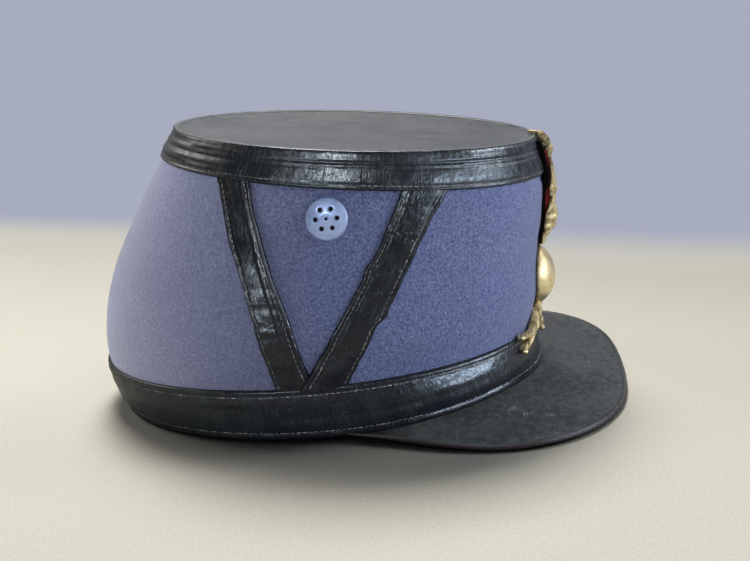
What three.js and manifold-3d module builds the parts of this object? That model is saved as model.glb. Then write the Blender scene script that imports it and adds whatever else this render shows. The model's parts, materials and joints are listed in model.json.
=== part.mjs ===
// A low military shako: a felt body with leather bands, peak, top and V straps, vents and a gilt badge.
// Units are millimetres. The hat is drawn upright with its base plane at z = 0, +X to the front,
// +Y to the wearer's left, and is then tipped onto the surface that it stands on.

import * as THREE from 'three';
import { mergeVertices } from 'three/addons/utils/BufferGeometryUtils.js';
import Module from 'manifold-3d';

const wasm = await Module();
wasm.setup();

// Clear space between pieces, and the thickness of each sheet material
const gap = 0.3;
const feltThickness = 3;
const bandThickness = 1.6;
const strapThickness = 1.3;
const backingThickness = 1;
const underlayThickness = 0.5;
const sprayThickness = 1;

// Sections of the felt body from the base up: heights and reaches at the front and rear, and half width
const sections = [
  { frontZ: 0, rearZ: 0, frontX: 106.6, rearX: -93.8, halfWidth: 76.2 },
  { frontZ: 23.5, rearZ: 23.5, frontX: 104.2, rearX: -100.4, halfWidth: 78.4 },
  { frontZ: 40, rearZ: 45, frontX: 108, rearX: -98.6, halfWidth: 80 },
  { frontZ: 58, rearZ: 68, frontX: 108.8, rearX: -90.4, halfWidth: 77.4 },
  { frontZ: 75, rearZ: 92, frontX: 111.4, rearX: -76.2, halfWidth: 73.6 },
  { frontZ: 92.6, rearZ: 116.2, frontX: 112.8, rearX: -59.8, halfWidth: 68.2 },
  { frontZ: 108.8, rearZ: 128.6, frontX: 107.2, rearX: -51.5, halfWidth: 63.2 },
];
const baseBandRow = 1;
const topBandRow = 5;
const topRow = 6;

// Felt and crown
const feltTopRow = 5.83;
const plateThickness = 2;
const plateDrop = 0.4;
const plateSag = 1.3;
const plateInset = 0.1;
const plateRings = [1, 0.9, 0.55, 0];
const roundSteps = 60;
const feltSteps = 5;
const feltBandSteps = 2;

// Top band: rows of its bend and its shoulder, the rolled ridge above the crown and the lip that laps over it
const bandBendRow = 5.45;
const bandShoulderRow = 5.88;
const ridgeHeight = 1;
const ridgeRounding = 0.4;
const lipReach = 3.4;

// Base band: its lower edge, and how far that edge climbs over the peak at the front
const bandHem = 0.6;
const peakClimb = 3.5;
const climbStart = 0.35;
const baseBandSteps = 3;

// Peak: the seat on the body, the rim in plan, and how far it drops below the base plane
const peakThickness = 2.6;
const peakSeatGap = 0.45;
const peakHalfAngle = THREE.MathUtils.degToRad(80);
const peakSteps = 40;
const peakRings = 4;
const peakDroop = 0.25;
const rim = [
  { x: 145.4, y: 0, z: -5.2 },
  { x: 143, y: 37.5, z: -5.2 },
  { x: 135.4, y: 61, z: -4.7 },
  { x: 123, y: 77.5, z: -4.1 },
  { x: 106.4, y: 88, z: -3.5 },
  { x: 87.4, y: 91.8, z: -3.3 },
  { x: 66, y: 89, z: -2.5 },
  { x: 46, y: 83, z: -2.3 },
  { x: 22, y: 77, z: -2.2 },
];

// V straps on each side: where the centre line meets the two bands, and the width
const straps = [
  { name: 'rear_strap', topX: -14.6, bottomX: 2, width: 12.4 },
  { name: 'front_strap', topX: 63, bottomX: 18.8, width: 12.6 },
];
const strapSteps = 12;
const strapAcross = 2;
const strapEndClear = 0.02;

// Vents: place on the body, domed disc, ring of holes and centre eyelet
const ventX = 24.2;
const ventRow = 4.45;
const ventRadius = 8.8;
const ventRise = 2.2;
const ventSheet = 0.9;
const ventHoles = 6;
const ventHoleRadius = 0.95;
const ventHoleCircle = 4.4;
const ventEyelet = 0.6;
const ventHoleSides = 8;
const ventSteps = 24;

// Badge: dome, forked foot and flame spray on the front centre line
const domeZ = 44.2;
const domeRadius = 13.6;
const domeRise = 7;
const domeRound = 0.7;
const domeSeat = 0.5;
const domeEdge = 0.5;
const domeSteps = 22;
const footOverFelt = 1.2;
const footOverBand = 2.4;
const footRamp = { from: 0.5, to: 7 };
const footThickness = 2;
const footBall = 1.3;
const footSteps = 4;
const footProngs = [
  { forkY: 0, forkZ: 36, tipY: 0, tipZ: 17.2, width: 5.6 },
  { forkY: 0, forkZ: 31.5, tipY: 30.5, tipZ: 17, width: 4.8 },
  { forkY: 21, forkZ: 22.6, tipY: 31.5, tipZ: 24.4, width: 3.2 },
  { forkY: 0, forkZ: 31.5, tipY: -30.5, tipZ: 17, width: 4.8 },
  { forkY: -21, forkZ: 22.6, tipY: -31.5, tipZ: 24.4, width: 3.2 },
];
const footBow = 1.25;
const footTaper = 0.35;
const footCrest = 0.8;
const flameProfile = [
  { x: 111.2, z: 58.6 },
  { x: 112.4, z: 61.5 },
  { x: 114.1, z: 64.5 },
  { x: 116.7, z: 68.3 },
  { x: 118.1, z: 73 },
  { x: 117.8, z: 80 },
  { x: 118.6, z: 86 },
  { x: 117.9, z: 92.4 },
  { x: 116.9, z: 98.7 },
  { x: 117.8, z: 103.2 },
  { x: 117.3, z: 107.4 },
  { x: 115.6, z: 109.4 },
  { x: 113.2, z: 110.9 },
  { x: 110.5, z: 111.7 },
  { x: 107.9, z: 111.9 },
];
const flames = [
  { tipY: 0, root: 0, reach: 1, width: 9.4 },
  { tipY: 4.6, root: 0.02, reach: 0.8, width: 7 },
  { tipY: -4.6, root: 0.02, reach: 0.8, width: 7 },
  { tipY: 8.4, root: 0.04, reach: 0.62, width: 7 },
  { tipY: -8.4, root: 0.04, reach: 0.62, width: 7 },
  { tipY: 9.6, root: 0.06, reach: 0.37, width: 6.4 },
  { tipY: -9.6, root: 0.06, reach: 0.37, width: 6.4 },
];
const flameSteps = 8;
const flameRidge = 0.6;
const flameRidgeFade = 0.6;
const flameRoot = 0.55;
const flameTip = 0.35;
const flamePoint = 5;
const flameFree = 4;
const flameClear = 0.9;
const backingEdges = { bottomZ: 60, topZ: 105, bottomWidth: 7.5, topWidth: 11 };
const backingLift = 2.2;
const backingFlat = 8;
const bandClear = 1;
const underlayInset = 5;
const underlayTrim = 2;
const underlayDrop = 1;
const layerSteps = 6;

const columns = ['frontZ', 'rearZ', 'frontX', 'rearX', 'halfWidth'];
const sectionCurve = new THREE.CubicInterpolant(
  sections.map((section, row) => row),
  sections.flatMap((section) => columns.map((column) => section[column])),
  columns.length,
);

// Sizes of the oval section at a row, also between two rows of the table
function sectionAt(row) {
  const values = Array.from(sectionCurve.evaluate(THREE.MathUtils.clamp(row, 0, topRow)));
  return Object.fromEntries(columns.map((column, index) => [column, values[index]]));
}

// Point on the outer face of the felt: an oval tipped so that its front and rear have their own heights
function skin(angle, row) {
  const section = sectionAt(row);
  const middle = (section.frontX + section.rearX) / 2;
  const reach = (section.frontX - section.rearX) / 2;
  const forward = (1 + Math.cos(angle)) / 2;
  return new THREE.Vector3(
    middle + reach * Math.cos(angle),
    section.halfWidth * Math.sin(angle),
    THREE.MathUtils.lerp(section.rearZ, section.frontZ, forward),
  );
}

// Outward direction of the felt at a point
function outward(angle, row) {
  const step = 0.01;
  const below = Math.max(row - step, 0);
  const above = Math.min(row + step, topRow);
  const round = skin(angle + step, row).sub(skin(angle - step, row));
  const up = skin(angle, above).sub(skin(angle, below));
  return round.cross(up).normalize();
}

// Point at a distance outside the felt
function offset(angle, row, distance) {
  return skin(angle, row).addScaledVector(outward(angle, row), distance);
}

// Angle at which the body has a given x, on the left (+1) or the right (-1)
function angleAtX(x, row, side) {
  const section = sectionAt(row);
  const middle = (section.frontX + section.rearX) / 2;
  const reach = (section.frontX - section.rearX) / 2;
  return side * Math.acos((x - middle) / reach);
}

// Row at which the front centre line has a given height
function frontRow(z) {
  let low = 0;
  let high = topRow;
  for (let halving = 0; halving < 30; halving += 1) {
    const row = (low + high) / 2;
    if (skin(0, row).z < z) low = row;
    else high = row;
  }
  return low;
}

// Point on the front of the body at a sideways place and a height, moved out by a distance
function frontPoint(y, z, distance) {
  const row = frontRow(z);
  return offset(Math.asin(y / sectionAt(row).halfWidth), row, distance);
}

const topSlope = Math.atan2(
  sections[topRow].rearZ - sections[topRow].frontZ,
  sections[topRow].frontX - sections[topRow].rearX,
);
const topUp = new THREE.Vector3(Math.sin(topSlope), 0, Math.cos(topSlope));

// Point near the crown's edge: in the tipped top plane, out from the edge by a distance and up by a lift
function crownPoint(angle, distance, lift) {
  const step = 0.01;
  const round = skin(angle + step, topRow).sub(skin(angle - step, topRow));
  const away = round.cross(topUp).normalize();
  return skin(angle, topRow).addScaledVector(away, distance).addScaledVector(topUp, lift);
}

function steps(count, from, to) {
  return Array.from({ length: count + 1 }, (unused, index) => from + ((to - from) * index) / count);
}

const turn = steps(roundSteps, 0, 2 * Math.PI).slice(0, roundSteps);

// Closed geometry from triangles of points: shared points are merged and the faces are turned to point out
function closedGeometry(triangles) {
  const whole = triangles.filter(([a, b, c]) => !a.equals(b) && !b.equals(c) && !c.equals(a));
  let volume = 0;
  for (const [a, b, c] of whole) volume += a.dot(b.clone().cross(c));
  const turned = volume < 0 ? whole.map(([a, b, c]) => [a, c, b]) : whole;
  const geometry = new THREE.BufferGeometry();
  const numbers = turned.flatMap((corners) => corners.flatMap((corner) => corner.toArray()));
  geometry.setAttribute('position', new THREE.Float32BufferAttribute(numbers, 3));
  return mergeVertices(geometry, 1e-5);
}

// Sheet between two grids of points, walled at its edges. A closed sheet also joins its last row to its
// first, and a row whose points all meet in one closes by itself
function sheet(outer, inner, closed) {
  const triangles = [];
  const quad = (a, b, c, d) => triangles.push([a, b, c], [a, c, d]);
  const rows = outer.length;
  const last = outer[0].length - 1;
  for (let i = 0; i < (closed ? rows : rows - 1); i += 1) {
    const k = (i + 1) % rows;
    for (let j = 0; j < last; j += 1) {
      quad(outer[i][j], outer[k][j], outer[k][j + 1], outer[i][j + 1]);
      quad(inner[i][j], inner[i][j + 1], inner[k][j + 1], inner[k][j]);
    }
    quad(outer[i][0], inner[i][0], inner[k][0], outer[k][0]);
    quad(outer[i][last], outer[k][last], inner[k][last], inner[i][last]);
  }
  if (!closed) {
    for (let j = 0; j < last; j += 1) {
      quad(outer[0][j], outer[0][j + 1], inner[0][j + 1], inner[0][j]);
      quad(outer[rows - 1][j], inner[rows - 1][j], inner[rows - 1][j + 1], outer[rows - 1][j + 1]);
    }
  }
  return closedGeometry(triangles);
}

// Solid for joining and cutting, from a closed geometry
function solid(geometry) {
  const bare = geometry.clone();
  for (const name of Object.keys(bare.attributes)) {
    if (name !== 'position') bare.deleteAttribute(name);
  }
  const merged = mergeVertices(bare, 1e-5);
  const mesh = new wasm.Mesh({
    numProp: 3,
    vertProperties: new Float32Array(merged.attributes.position.array),
    triVerts: new Uint32Array(merged.index.array),
  });
  return new wasm.Manifold(mesh);
}

function geometryOf(manifold) {
  const mesh = manifold.getMesh();
  const geometry = new THREE.BufferGeometry();
  geometry.setAttribute('position', new THREE.BufferAttribute(mesh.vertProperties, 3));
  geometry.setIndex(new THREE.BufferAttribute(mesh.triVerts, 1));
  return geometry;
}

// Felt body: one wall, open at the base, with a flat lower edge, and its top edge under the crown
function feltBody() {
  const rows = [
    ...steps(feltBandSteps, 0, baseBandRow),
    ...steps(feltSteps, baseBandRow, topBandRow).slice(1),
    ...steps(feltBandSteps, topBandRow, feltTopRow).slice(1),
  ];
  const wall = (distance) => turn.map((angle) => rows.map((row) => {
    const point = offset(angle, row, distance);
    if (row === 0) point.z = 0;
    return point;
  }));
  return sheet(wall(0), wall(-feltThickness), true);
}

// Crown top: a leather disc that lies inside the top band and sags a little toward its middle
function crownTop() {
  const centre = new THREE.Vector3();
  for (const angle of turn) centre.addScaledVector(crownPoint(angle, 0, 0), 1 / roundSteps);
  const face = (drop) => turn.map((angle) => plateRings.map((ring) => {
    const edge = crownPoint(angle, -plateInset, 0);
    const sag = plateSag * (1 - ring * ring);
    return centre.clone().lerp(edge, ring).addScaledVector(topUp, -drop - sag);
  }));
  return sheet(face(plateDrop), face(plateDrop + plateThickness), true);
}

// Top band: a leather strip round the top of the wall, rolled over the crown's edge into a ridge and a lip
function topBand() {
  const rows = [topBandRow, bandBendRow, bandShoulderRow];
  const outerFace = gap + bandThickness;
  const outer = turn.map((angle) => [
    ...rows.map((row) => offset(angle, row, outerFace)),
    crownPoint(angle, outerFace, ridgeHeight * ridgeRounding),
    crownPoint(angle, outerFace * ridgeRounding, ridgeHeight),
    crownPoint(angle, -lipReach * ridgeRounding, ridgeHeight),
    crownPoint(angle, -lipReach, ridgeHeight * ridgeRounding),
  ]);
  const lipUnder = gap - plateDrop;
  const inner = turn.map((angle) => [
    ...rows.map((row) => offset(angle, row, gap)),
    crownPoint(angle, gap, lipUnder * 2),
    crownPoint(angle, gap / 2, lipUnder),
    crownPoint(angle, -lipReach * ridgeRounding, lipUnder),
    crownPoint(angle, -lipReach, lipUnder),
  ]);
  return sheet(outer, inner, true);
}

// How much of the climb over the peak the base band's lower edge has at an angle from the front
function climb(angle) {
  const turned = Math.abs(Math.atan2(Math.sin(angle), Math.cos(angle)));
  return 1 - THREE.MathUtils.smoothstep(turned, peakHalfAngle * climbStart, peakHalfAngle);
}

// Row of the wall at a height above the base plane, below the base band's upper edge
function baseRow(z) {
  return z / sections[baseBandRow].frontZ;
}

// Base band: a leather strip round the bottom of the wall, its lower edge lying on the peak at the front
function baseBand() {
  const wall = (distance) => turn.map((angle) => {
    const lower = baseRow(bandHem + peakClimb * climb(angle));
    return steps(baseBandSteps, lower, baseBandRow).map((row) => offset(angle, row, distance));
  });
  return sheet(wall(gap + bandThickness), wall(gap), true);
}

// Peak: a stiff leather plate from its seat on the wall, under the base band, out to a squarish rim
function peak() {
  const side = (sign) => rim.map(({ x, y, z }) => new THREE.Vector3(x, sign * y, z));
  const edge = new THREE.CatmullRomCurve3([...side(-1).reverse(), ...side(1).slice(1)], false, 'centripetal');
  const surface = (drop) => steps(peakSteps, -1, 1).map((along) => {
    const angle = along * peakHalfAngle;
    const seatZ = bandHem + peakClimb * climb(angle) - gap;
    const seat = offset(angle, baseRow(seatZ), peakSeatGap);
    const tip = edge.getPointAt((along + 1) / 2);
    return steps(peakRings, 0, 1).map((ring) => {
      const point = seat.clone().lerp(tip, ring);
      const fall = ring * (1 - peakDroop) + ring * ring * peakDroop;
      point.z = THREE.MathUtils.lerp(seatZ, tip.z + peakThickness, fall) - drop;
      return point;
    });
  });
  return sheet(surface(0), surface(peakThickness), false);
}

// V strap: a flat leather strip on the felt, straight as seen from the side, between the two bands
function strap({ topX, bottomX, width }, side) {
  const topZ = skin(angleAtX(topX, topBandRow, side), topBandRow).z;
  const bottomZ = skin(angleAtX(bottomX, baseBandRow, side), baseBandRow).z;
  const lean = Math.atan2(topX - bottomX, topZ - bottomZ);
  const across = width / Math.cos(lean);
  const fromRow = baseBandRow + strapEndClear;
  const toRow = topBandRow - strapEndClear;
  const face = (distance) => steps(strapSteps, fromRow, toRow).map((row) => {
    const share = (row - baseBandRow) / (topBandRow - baseBandRow);
    const middle = THREE.MathUtils.lerp(bottomX, topX, share);
    return steps(strapAcross, -across / 2, across / 2).map((shift) => {
      return offset(angleAtX(middle + shift, row, side), row, distance);
    });
  });
  return sheet(face(gap + strapThickness), face(gap), false);
}

// Vent: a domed metal disc with a ring of drilled holes and a centre eyelet, set flat on the felt
function vent() {
  const domeHeight = (ring) => ventRise * (1 - ring * ring);
  const rings = [1, 0.75, 0.35, 0];
  const angles = steps(ventSteps, 0, 2 * Math.PI).slice(0, ventSteps);
  const face = (lift) => angles.map((angle) => rings.map((ring) => new THREE.Vector3(
    ventRadius * ring * Math.cos(angle),
    ventRadius * ring * Math.sin(angle),
    domeHeight(ring) + lift,
  )));
  let disc = solid(sheet(face(ventSheet), face(0), true));
  const drill = (radius, x, y) => {
    const bit = new THREE.CylinderGeometry(radius, radius, 4 * ventRise, ventHoleSides);
    bit.rotateX(Math.PI / 2).translate(x, y, ventRise);
    disc = disc.subtract(solid(bit));
  };
  for (let hole = 0; hole < ventHoles; hole += 1) {
    const angle = (hole * 2 * Math.PI) / ventHoles;
    drill(ventHoleRadius, ventHoleCircle * Math.cos(angle), ventHoleCircle * Math.sin(angle));
  }
  drill(ventEyelet, 0, 0);
  return geometryOf(disc);
}

// How far the badge's layers stand off the felt: flat on it at the bottom, clear of the top band above
function backingSeat(z) {
  const liftedZ = skin(0, topBandRow).z - bandClear;
  const rise = THREE.MathUtils.smoothstep(z, backingEdges.bottomZ + backingFlat, liftedZ);
  return THREE.MathUtils.lerp(gap, backingLift, rise);
}

// Half width of the badge's backing at a height
function backingWidth(z) {
  const share = (z - backingEdges.bottomZ) / (backingEdges.topZ - backingEdges.bottomZ);
  const spread = Math.sin((share * Math.PI) / 2);
  return THREE.MathUtils.lerp(backingEdges.bottomWidth, backingEdges.topWidth, spread);
}

// Flat layer of the badge over a range of heights, standing off by a distance, with its own thickness
function badgeLayer(fromZ, toZ, trim, stand, thickness) {
  const face = (distance) => steps(layerSteps, fromZ, toZ).map((z) => {
    const half = backingWidth(z) - trim;
    return steps(layerSteps, -half, half).map((y) => frontPoint(y, z, backingSeat(z) + distance));
  });
  return sheet(face(stand + thickness), face(stand), false);
}

function badgeBacking() {
  return badgeLayer(backingEdges.bottomZ, backingEdges.topZ, 0, 0, backingThickness);
}

function badgeUnderlay() {
  const from = backingEdges.bottomZ + underlayInset;
  const to = backingEdges.topZ - underlayDrop;
  return badgeLayer(from, to, underlayTrim, backingThickness + gap, underlayThickness);
}

// Flame spray: pointed tongues that fan out from one root, bulge over the underlay and curl over the crown.
// Each tongue's edges and its inner face lie close to the underlay, and its ridge follows the profile.
function badgeSpray() {
  const profile = new THREE.CatmullRomCurve3(flameProfile.map(({ x, z }) => new THREE.Vector3(x, 0, z)));
  const crownZ = sections[topRow].frontZ;
  const layers = backingThickness + gap + underlayThickness + flameClear;
  const bend = (y, z) => {
    const height = Math.min(z, crownZ);
    return frontPoint(y, height, 0).x - frontPoint(0, height, 0).x;
  };
  const standOff = ({ x, z }) => {
    const under = frontPoint(0, Math.min(z, backingEdges.topZ), backingSeat(z) + layers).x;
    const held = 1 - THREE.MathUtils.smoothstep(z, backingEdges.topZ - flameFree, backingEdges.topZ);
    return (x - sprayThickness - under) * held;
  };
  const tongue = ({ tipY, root, reach, width }) => {
    const face = (depth) => steps(flameSteps, 0, 1).map((along) => {
      const share = THREE.MathUtils.lerp(root, reach, along);
      const centre = profile.getPointAt(share);
      const ahead = profile.getTangentAt(share);
      const away = new THREE.Vector3(ahead.z, 0, -ahead.x);
      const wave = Math.sin(along * 2 * Math.PI) * Math.sign(tipY);
      const middle = tipY * Math.sin((along * Math.PI) / 2) + wave;
      const half = (width / 2) * Math.min(flameRoot + along, 1) * (1 - along ** flamePoint) + flameTip;
      return [-1, 0, 1].map((shift) => {
        const y = middle + shift * half;
        const ridge = flameRidge * (1 - Math.abs(shift)) * (1 - along * flameRidgeFade);
        const sunk = depth === 0 ? Math.abs(shift) : 1;
        const point = centre.clone().addScaledVector(away, depth === 0 ? ridge : -depth);
        point.y = y;
        point.x += bend(y, point.z) - sunk * standOff(centre);
        return point;
      });
    });
    return solid(sheet(face(0), face(sprayThickness), false));
  };
  const [first, ...others] = flames.map(tongue);
  return geometryOf(others.reduce((joined, next) => joined.add(next), first));
}

// Distance of the foot from the felt at a height: close to it under the dome, and over the base band below
function footSeat(z) {
  const bandTop = sections[baseBandRow].frontZ;
  const rise = THREE.MathUtils.smoothstep(z, bandTop + footRamp.from, bandTop + footRamp.to);
  return THREE.MathUtils.lerp(footOverBand, footOverFelt, rise);
}

// Boss: the dome and its forked foot, one piece of metal. A prong's width lies square to its own direction.
function badgeBoss() {
  const rings = [1, 0.92, 0.74, 0.42, 0];
  const angles = steps(domeSteps, 0, 2 * Math.PI).slice(0, domeSteps);
  const face = (height) => angles.map((angle) => rings.map((ring) => {
    const y = domeRadius * ring * Math.cos(angle);
    const z = domeZ + domeRadius * ring * Math.sin(angle);
    return frontPoint(y, z, domeSeat + height * (1 - ring * ring) ** domeRound + (height > 0 ? domeEdge : 0));
  }));
  const dome = solid(sheet(face(domeRise), face(0), true));
  const prong = ({ forkY, forkZ, tipY, tipZ, width }) => {
    const bar = (thickness) => steps(footSteps, 0, 1).map((along) => {
      const middleY = THREE.MathUtils.lerp(forkY, tipY, along);
      const middleZ = THREE.MathUtils.lerp(forkZ, tipZ, along ** footBow);
      const slope = (tipZ - forkZ) * footBow * along ** (footBow - 1);
      const ahead = new THREE.Vector2(tipY - forkY, slope).normalize();
      const half = (width / 2) * (1 - footTaper * along);
      return [-1, 0, 1].map((shift) => {
        const crest = thickness > 0 ? footCrest * (1 - Math.abs(shift)) : 0;
        const z = middleZ + shift * half * ahead.x;
        return frontPoint(middleY - shift * half * ahead.y, z, footSeat(z) + thickness + crest);
      });
    });
    const ball = new THREE.IcosahedronGeometry(footBall, 1);
    const seat = frontPoint(tipY, tipZ, footSeat(tipZ) + footBall);
    ball.translate(seat.x, seat.y, seat.z);
    return solid(sheet(bar(footThickness), bar(0), false)).add(solid(ball));
  };
  return geometryOf(footProngs.map(prong).reduce((joined, next) => joined.add(next), dome));
}

const felt = { color: 0x5b6585, roughness: 0.95, metalness: 0 };
const blackLeather = { color: 0x17181a, roughness: 0.4, metalness: 0 };
const peakLeather = { color: 0x1c1d1c, roughness: 0.5, metalness: 0 };
const paleMetal = { color: 0x8f9cc0, roughness: 0.4, metalness: 0.7 };
const redCloth = { color: 0x8a1f22, roughness: 0.95, metalness: 0 };
const gilt = { color: 0xa98f4e, roughness: 0.35, metalness: 1 };

const hat = new THREE.Group();

function addPiece(name, geometry, look) {
  const mesh = new THREE.Mesh(geometry, new THREE.MeshStandardMaterial(look));
  mesh.name = name;
  hat.add(mesh);
  return mesh;
}

addPiece('felt_body', feltBody(), felt);
addPiece('crown_top', crownTop(), blackLeather);
addPiece('top_band', topBand(), blackLeather);
addPiece('base_band', baseBand(), blackLeather);
addPiece('peak', peak(), peakLeather);

for (const [side, sign] of [['right', -1], ['left', 1]]) {
  for (const row of straps) addPiece(`${side}_${row.name}`, strap(row, sign), blackLeather);
  const angle = angleAtX(ventX, ventRow, sign);
  const disc = addPiece(`${side}_vent`, vent(), paleMetal);
  disc.position.copy(offset(angle, ventRow, gap));
  disc.quaternion.setFromUnitVectors(new THREE.Vector3(0, 0, 1), outward(angle, ventRow));
}

addPiece('badge_backing', badgeBacking(), blackLeather);
addPiece('badge_underlay', badgeUnderlay(), redCloth);
addPiece('badge_spray', badgeSpray(), gilt);
addPiece('badge_boss', badgeBoss(), gilt);

// Tip the hat back until the rear of its base and the front of the peak's rim are level, then set it on z = 0
const contact = rim[1];
hat.rotation.y = -Math.atan2(-contact.z, contact.x - sections[0].rearX);
hat.updateMatrixWorld(true);
const box = new THREE.Box3().setFromObject(hat, true);
hat.position.set(-(box.min.x + box.max.x) / 2, 0, -box.min.z);

const shako = new THREE.Group();
shako.add(hat);

export default shako;
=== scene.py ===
# A low military shako: blue-grey felt body, black leather bands, straps, top and peak, and a gilt badge.
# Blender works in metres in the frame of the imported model: +X front, +Y the wearer's left, +Z up.
# The hat's own sizes are in millimetres above its base plane, and the last step of each mesh stands it up.

import json

import bpy
import numpy as np
from mathutils import Matrix

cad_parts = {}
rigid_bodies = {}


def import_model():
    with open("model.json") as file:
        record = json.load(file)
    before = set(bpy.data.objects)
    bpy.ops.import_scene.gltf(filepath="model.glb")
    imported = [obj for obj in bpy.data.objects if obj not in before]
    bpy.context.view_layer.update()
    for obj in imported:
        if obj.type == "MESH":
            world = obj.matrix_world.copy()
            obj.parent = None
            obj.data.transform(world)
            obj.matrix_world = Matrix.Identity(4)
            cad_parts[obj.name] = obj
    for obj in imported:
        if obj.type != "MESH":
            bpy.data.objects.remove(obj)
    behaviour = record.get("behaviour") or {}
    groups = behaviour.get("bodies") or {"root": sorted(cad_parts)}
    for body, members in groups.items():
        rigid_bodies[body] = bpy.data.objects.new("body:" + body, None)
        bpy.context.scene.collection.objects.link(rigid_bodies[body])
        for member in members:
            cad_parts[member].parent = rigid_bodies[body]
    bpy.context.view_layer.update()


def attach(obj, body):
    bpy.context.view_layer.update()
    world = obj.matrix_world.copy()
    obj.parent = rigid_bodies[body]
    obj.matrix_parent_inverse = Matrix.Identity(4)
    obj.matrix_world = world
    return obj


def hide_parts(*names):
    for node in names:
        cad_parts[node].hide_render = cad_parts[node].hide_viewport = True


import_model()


# Felt body: one blocked wall of thick blue-grey wool felt, open below, that leans forward.
# It is shaped over a block from a single cone of felt, so it has no seam, and its oval
# narrows and tips from the base to the crown.
FELT_ROWS = np.array([
    # front height, rear height, front reach, rear reach, half width
    [0, 0, 106.6, -93.8, 76.2],
    [23.5, 23.5, 104.2, -100.4, 78.4],
    [40, 45, 108, -98.6, 80],
    [58, 68, 108.8, -90.4, 77.4],
    [75, 92, 111.4, -76.2, 73.6],
    [92.6, 116.2, 112.8, -59.8, 68.2],
    [108.8, 128.6, 110, -51.5, 63.2],
])
BASE_BAND_ROW = 1
TOP_BAND_ROW = 5
TOP_ROW = 6
FELT_TOP_ROW = 5.83
FELT_THICKNESS = 3.0
FELT_WAVES = 0.12
FRONT_SWELL = 0.9
FRONT_SWELL_ANGLE = 0.7
RIM_DROP = 5.2
RIM_REACH = 143
TIP_BACK = np.arctan2(RIM_DROP, RIM_REACH - FELT_ROWS[0, 3])
STANDS_AT = np.array([-21.3516, 0, 2.0794])
WALL_STEP = 0.01
SHARP_EDGE = np.radians(50)
FELT_SHADES = [(0.3, (0.034, 0.052, 0.165)), (0.5, (0.165, 0.21, 0.48)), (0.7, (0.44, 0.5, 0.82))]
FELT_TUFT = (0.26, 0.305, 0.52)
FELT_PATCH = (0.13, 0.172, 0.4)
FELT_DUST_AND_RIM_LIGHT = (0.42, 0.415, 0.475)
FELT_SHEEN = (0.88, 0.88, 1.0)


def grid(first, second):
    """Two parameters spread over a grid, the first along its columns and the second up its rows."""
    return np.meshgrid(first, second, indexing="ij")


def full_turn(count):
    """Angles evenly round a circle, with the start not repeated."""
    return np.linspace(0, 2 * np.pi, count, endpoint=False)


def from_front(angle):
    """Angle brought between minus and plus half a turn, 0 being the front."""
    return np.arctan2(np.sin(angle), np.cos(angle))


def unit(vectors):
    """Vectors divided by their lengths."""
    return vectors / np.linalg.norm(vectors, axis=-1, keepdims=True)


def smooth_curve(table, place):
    """Values of a table at places between its rows: the cubic through each four neighbours,
    straight on beyond the ends."""
    first = 2 * table[:1] - table[1:2]
    last = 2 * table[-1:] - table[-2:-1]
    padded = np.concatenate([first, table, last])
    place = np.clip(np.asarray(place, float), 0, len(table) - 1)
    low = np.minimum(place.astype(int), len(table) - 2)
    t = (place - low)[..., None]
    a, b, c, d = (padded[low + k] for k in range(4))
    return b + t / 2 * (c - a + t * (2 * a - 5 * b + 4 * c - d + t * (3 * b - a - 3 * c + d)))


def felt_point(angle, row):
    """Point of the felt's outer face: an oval about its own middle, tipped between two heights."""
    angle, row = np.broadcast_arrays(angle, row)
    front_z, rear_z, front_x, rear_x, half = np.moveaxis(smooth_curve(FELT_ROWS, row), -1, 0)
    x = (front_x + rear_x) / 2 + (front_x - rear_x) / 2 * np.cos(angle)
    z = rear_z + (front_z - rear_z) * (1 + np.cos(angle)) / 2
    return np.stack([x, half * np.sin(angle), z], -1)


def felt_normal(angle, row):
    """Outward direction: the way round the oval crossed with the way up the wall."""
    row = np.asarray(row, float)
    above, below = np.minimum(row + WALL_STEP, TOP_ROW), np.maximum(row - WALL_STEP, 0)
    round_way = felt_point(angle + WALL_STEP, row) - felt_point(angle - WALL_STEP, row)
    return unit(np.cross(round_way, felt_point(angle, above) - felt_point(angle, below)))


def on_felt(angle, row, distance):
    """Point at a distance outside the felt's outer face."""
    return felt_point(angle, row) + np.asarray(distance)[..., None] * felt_normal(angle, row)


def standing(points):
    """Hat millimetres to metres on the floor: tipped back about the left-right axis, then shifted."""
    turned = np.array(points, float)
    turned[..., 0] = points[..., 0] * np.cos(TIP_BACK) - points[..., 2] * np.sin(TIP_BACK)
    turned[..., 2] = points[..., 0] * np.sin(TIP_BACK) + points[..., 2] * np.cos(TIP_BACK)
    return (turned + STANDS_AT) / 1000


def wander(u, v, seed):
    """Soft hills from -1 to 1: random heights on a unit lattice, blended by the cubic 3t2 - 2t3."""
    count = 256
    heights = np.random.default_rng(seed).uniform(-1, 1, (count, count))
    u, v = np.broadcast_arrays(u, v)
    i = np.floor(u).astype(int)
    j = np.floor(v).astype(int)
    s = u - i
    t = v - j
    s = s * s * (3 - 2 * s)
    t = t * t * (3 - 2 * t)
    left, right, low, high = i % count, (i + 1) % count, j % count, (j + 1) % count
    below = heights[left, low] * (1 - s) + heights[right, low] * s
    above = heights[left, high] * (1 - s) + heights[right, high] * s
    return below * (1 - t) + above * t


def rise(value, start, end):
    """Smooth step from 0 at start to 1 at end, by the cubic 3t2 - 2t3."""
    t = np.clip((value - start) / (end - start), 0, 1)
    return t * t * (3 - 2 * t)


def hump(value, centre, spread):
    """Bell of height 1: e to the power of minus the square of the distance over the spread."""
    return np.exp(-(((value - centre) / spread) ** 2))


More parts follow.
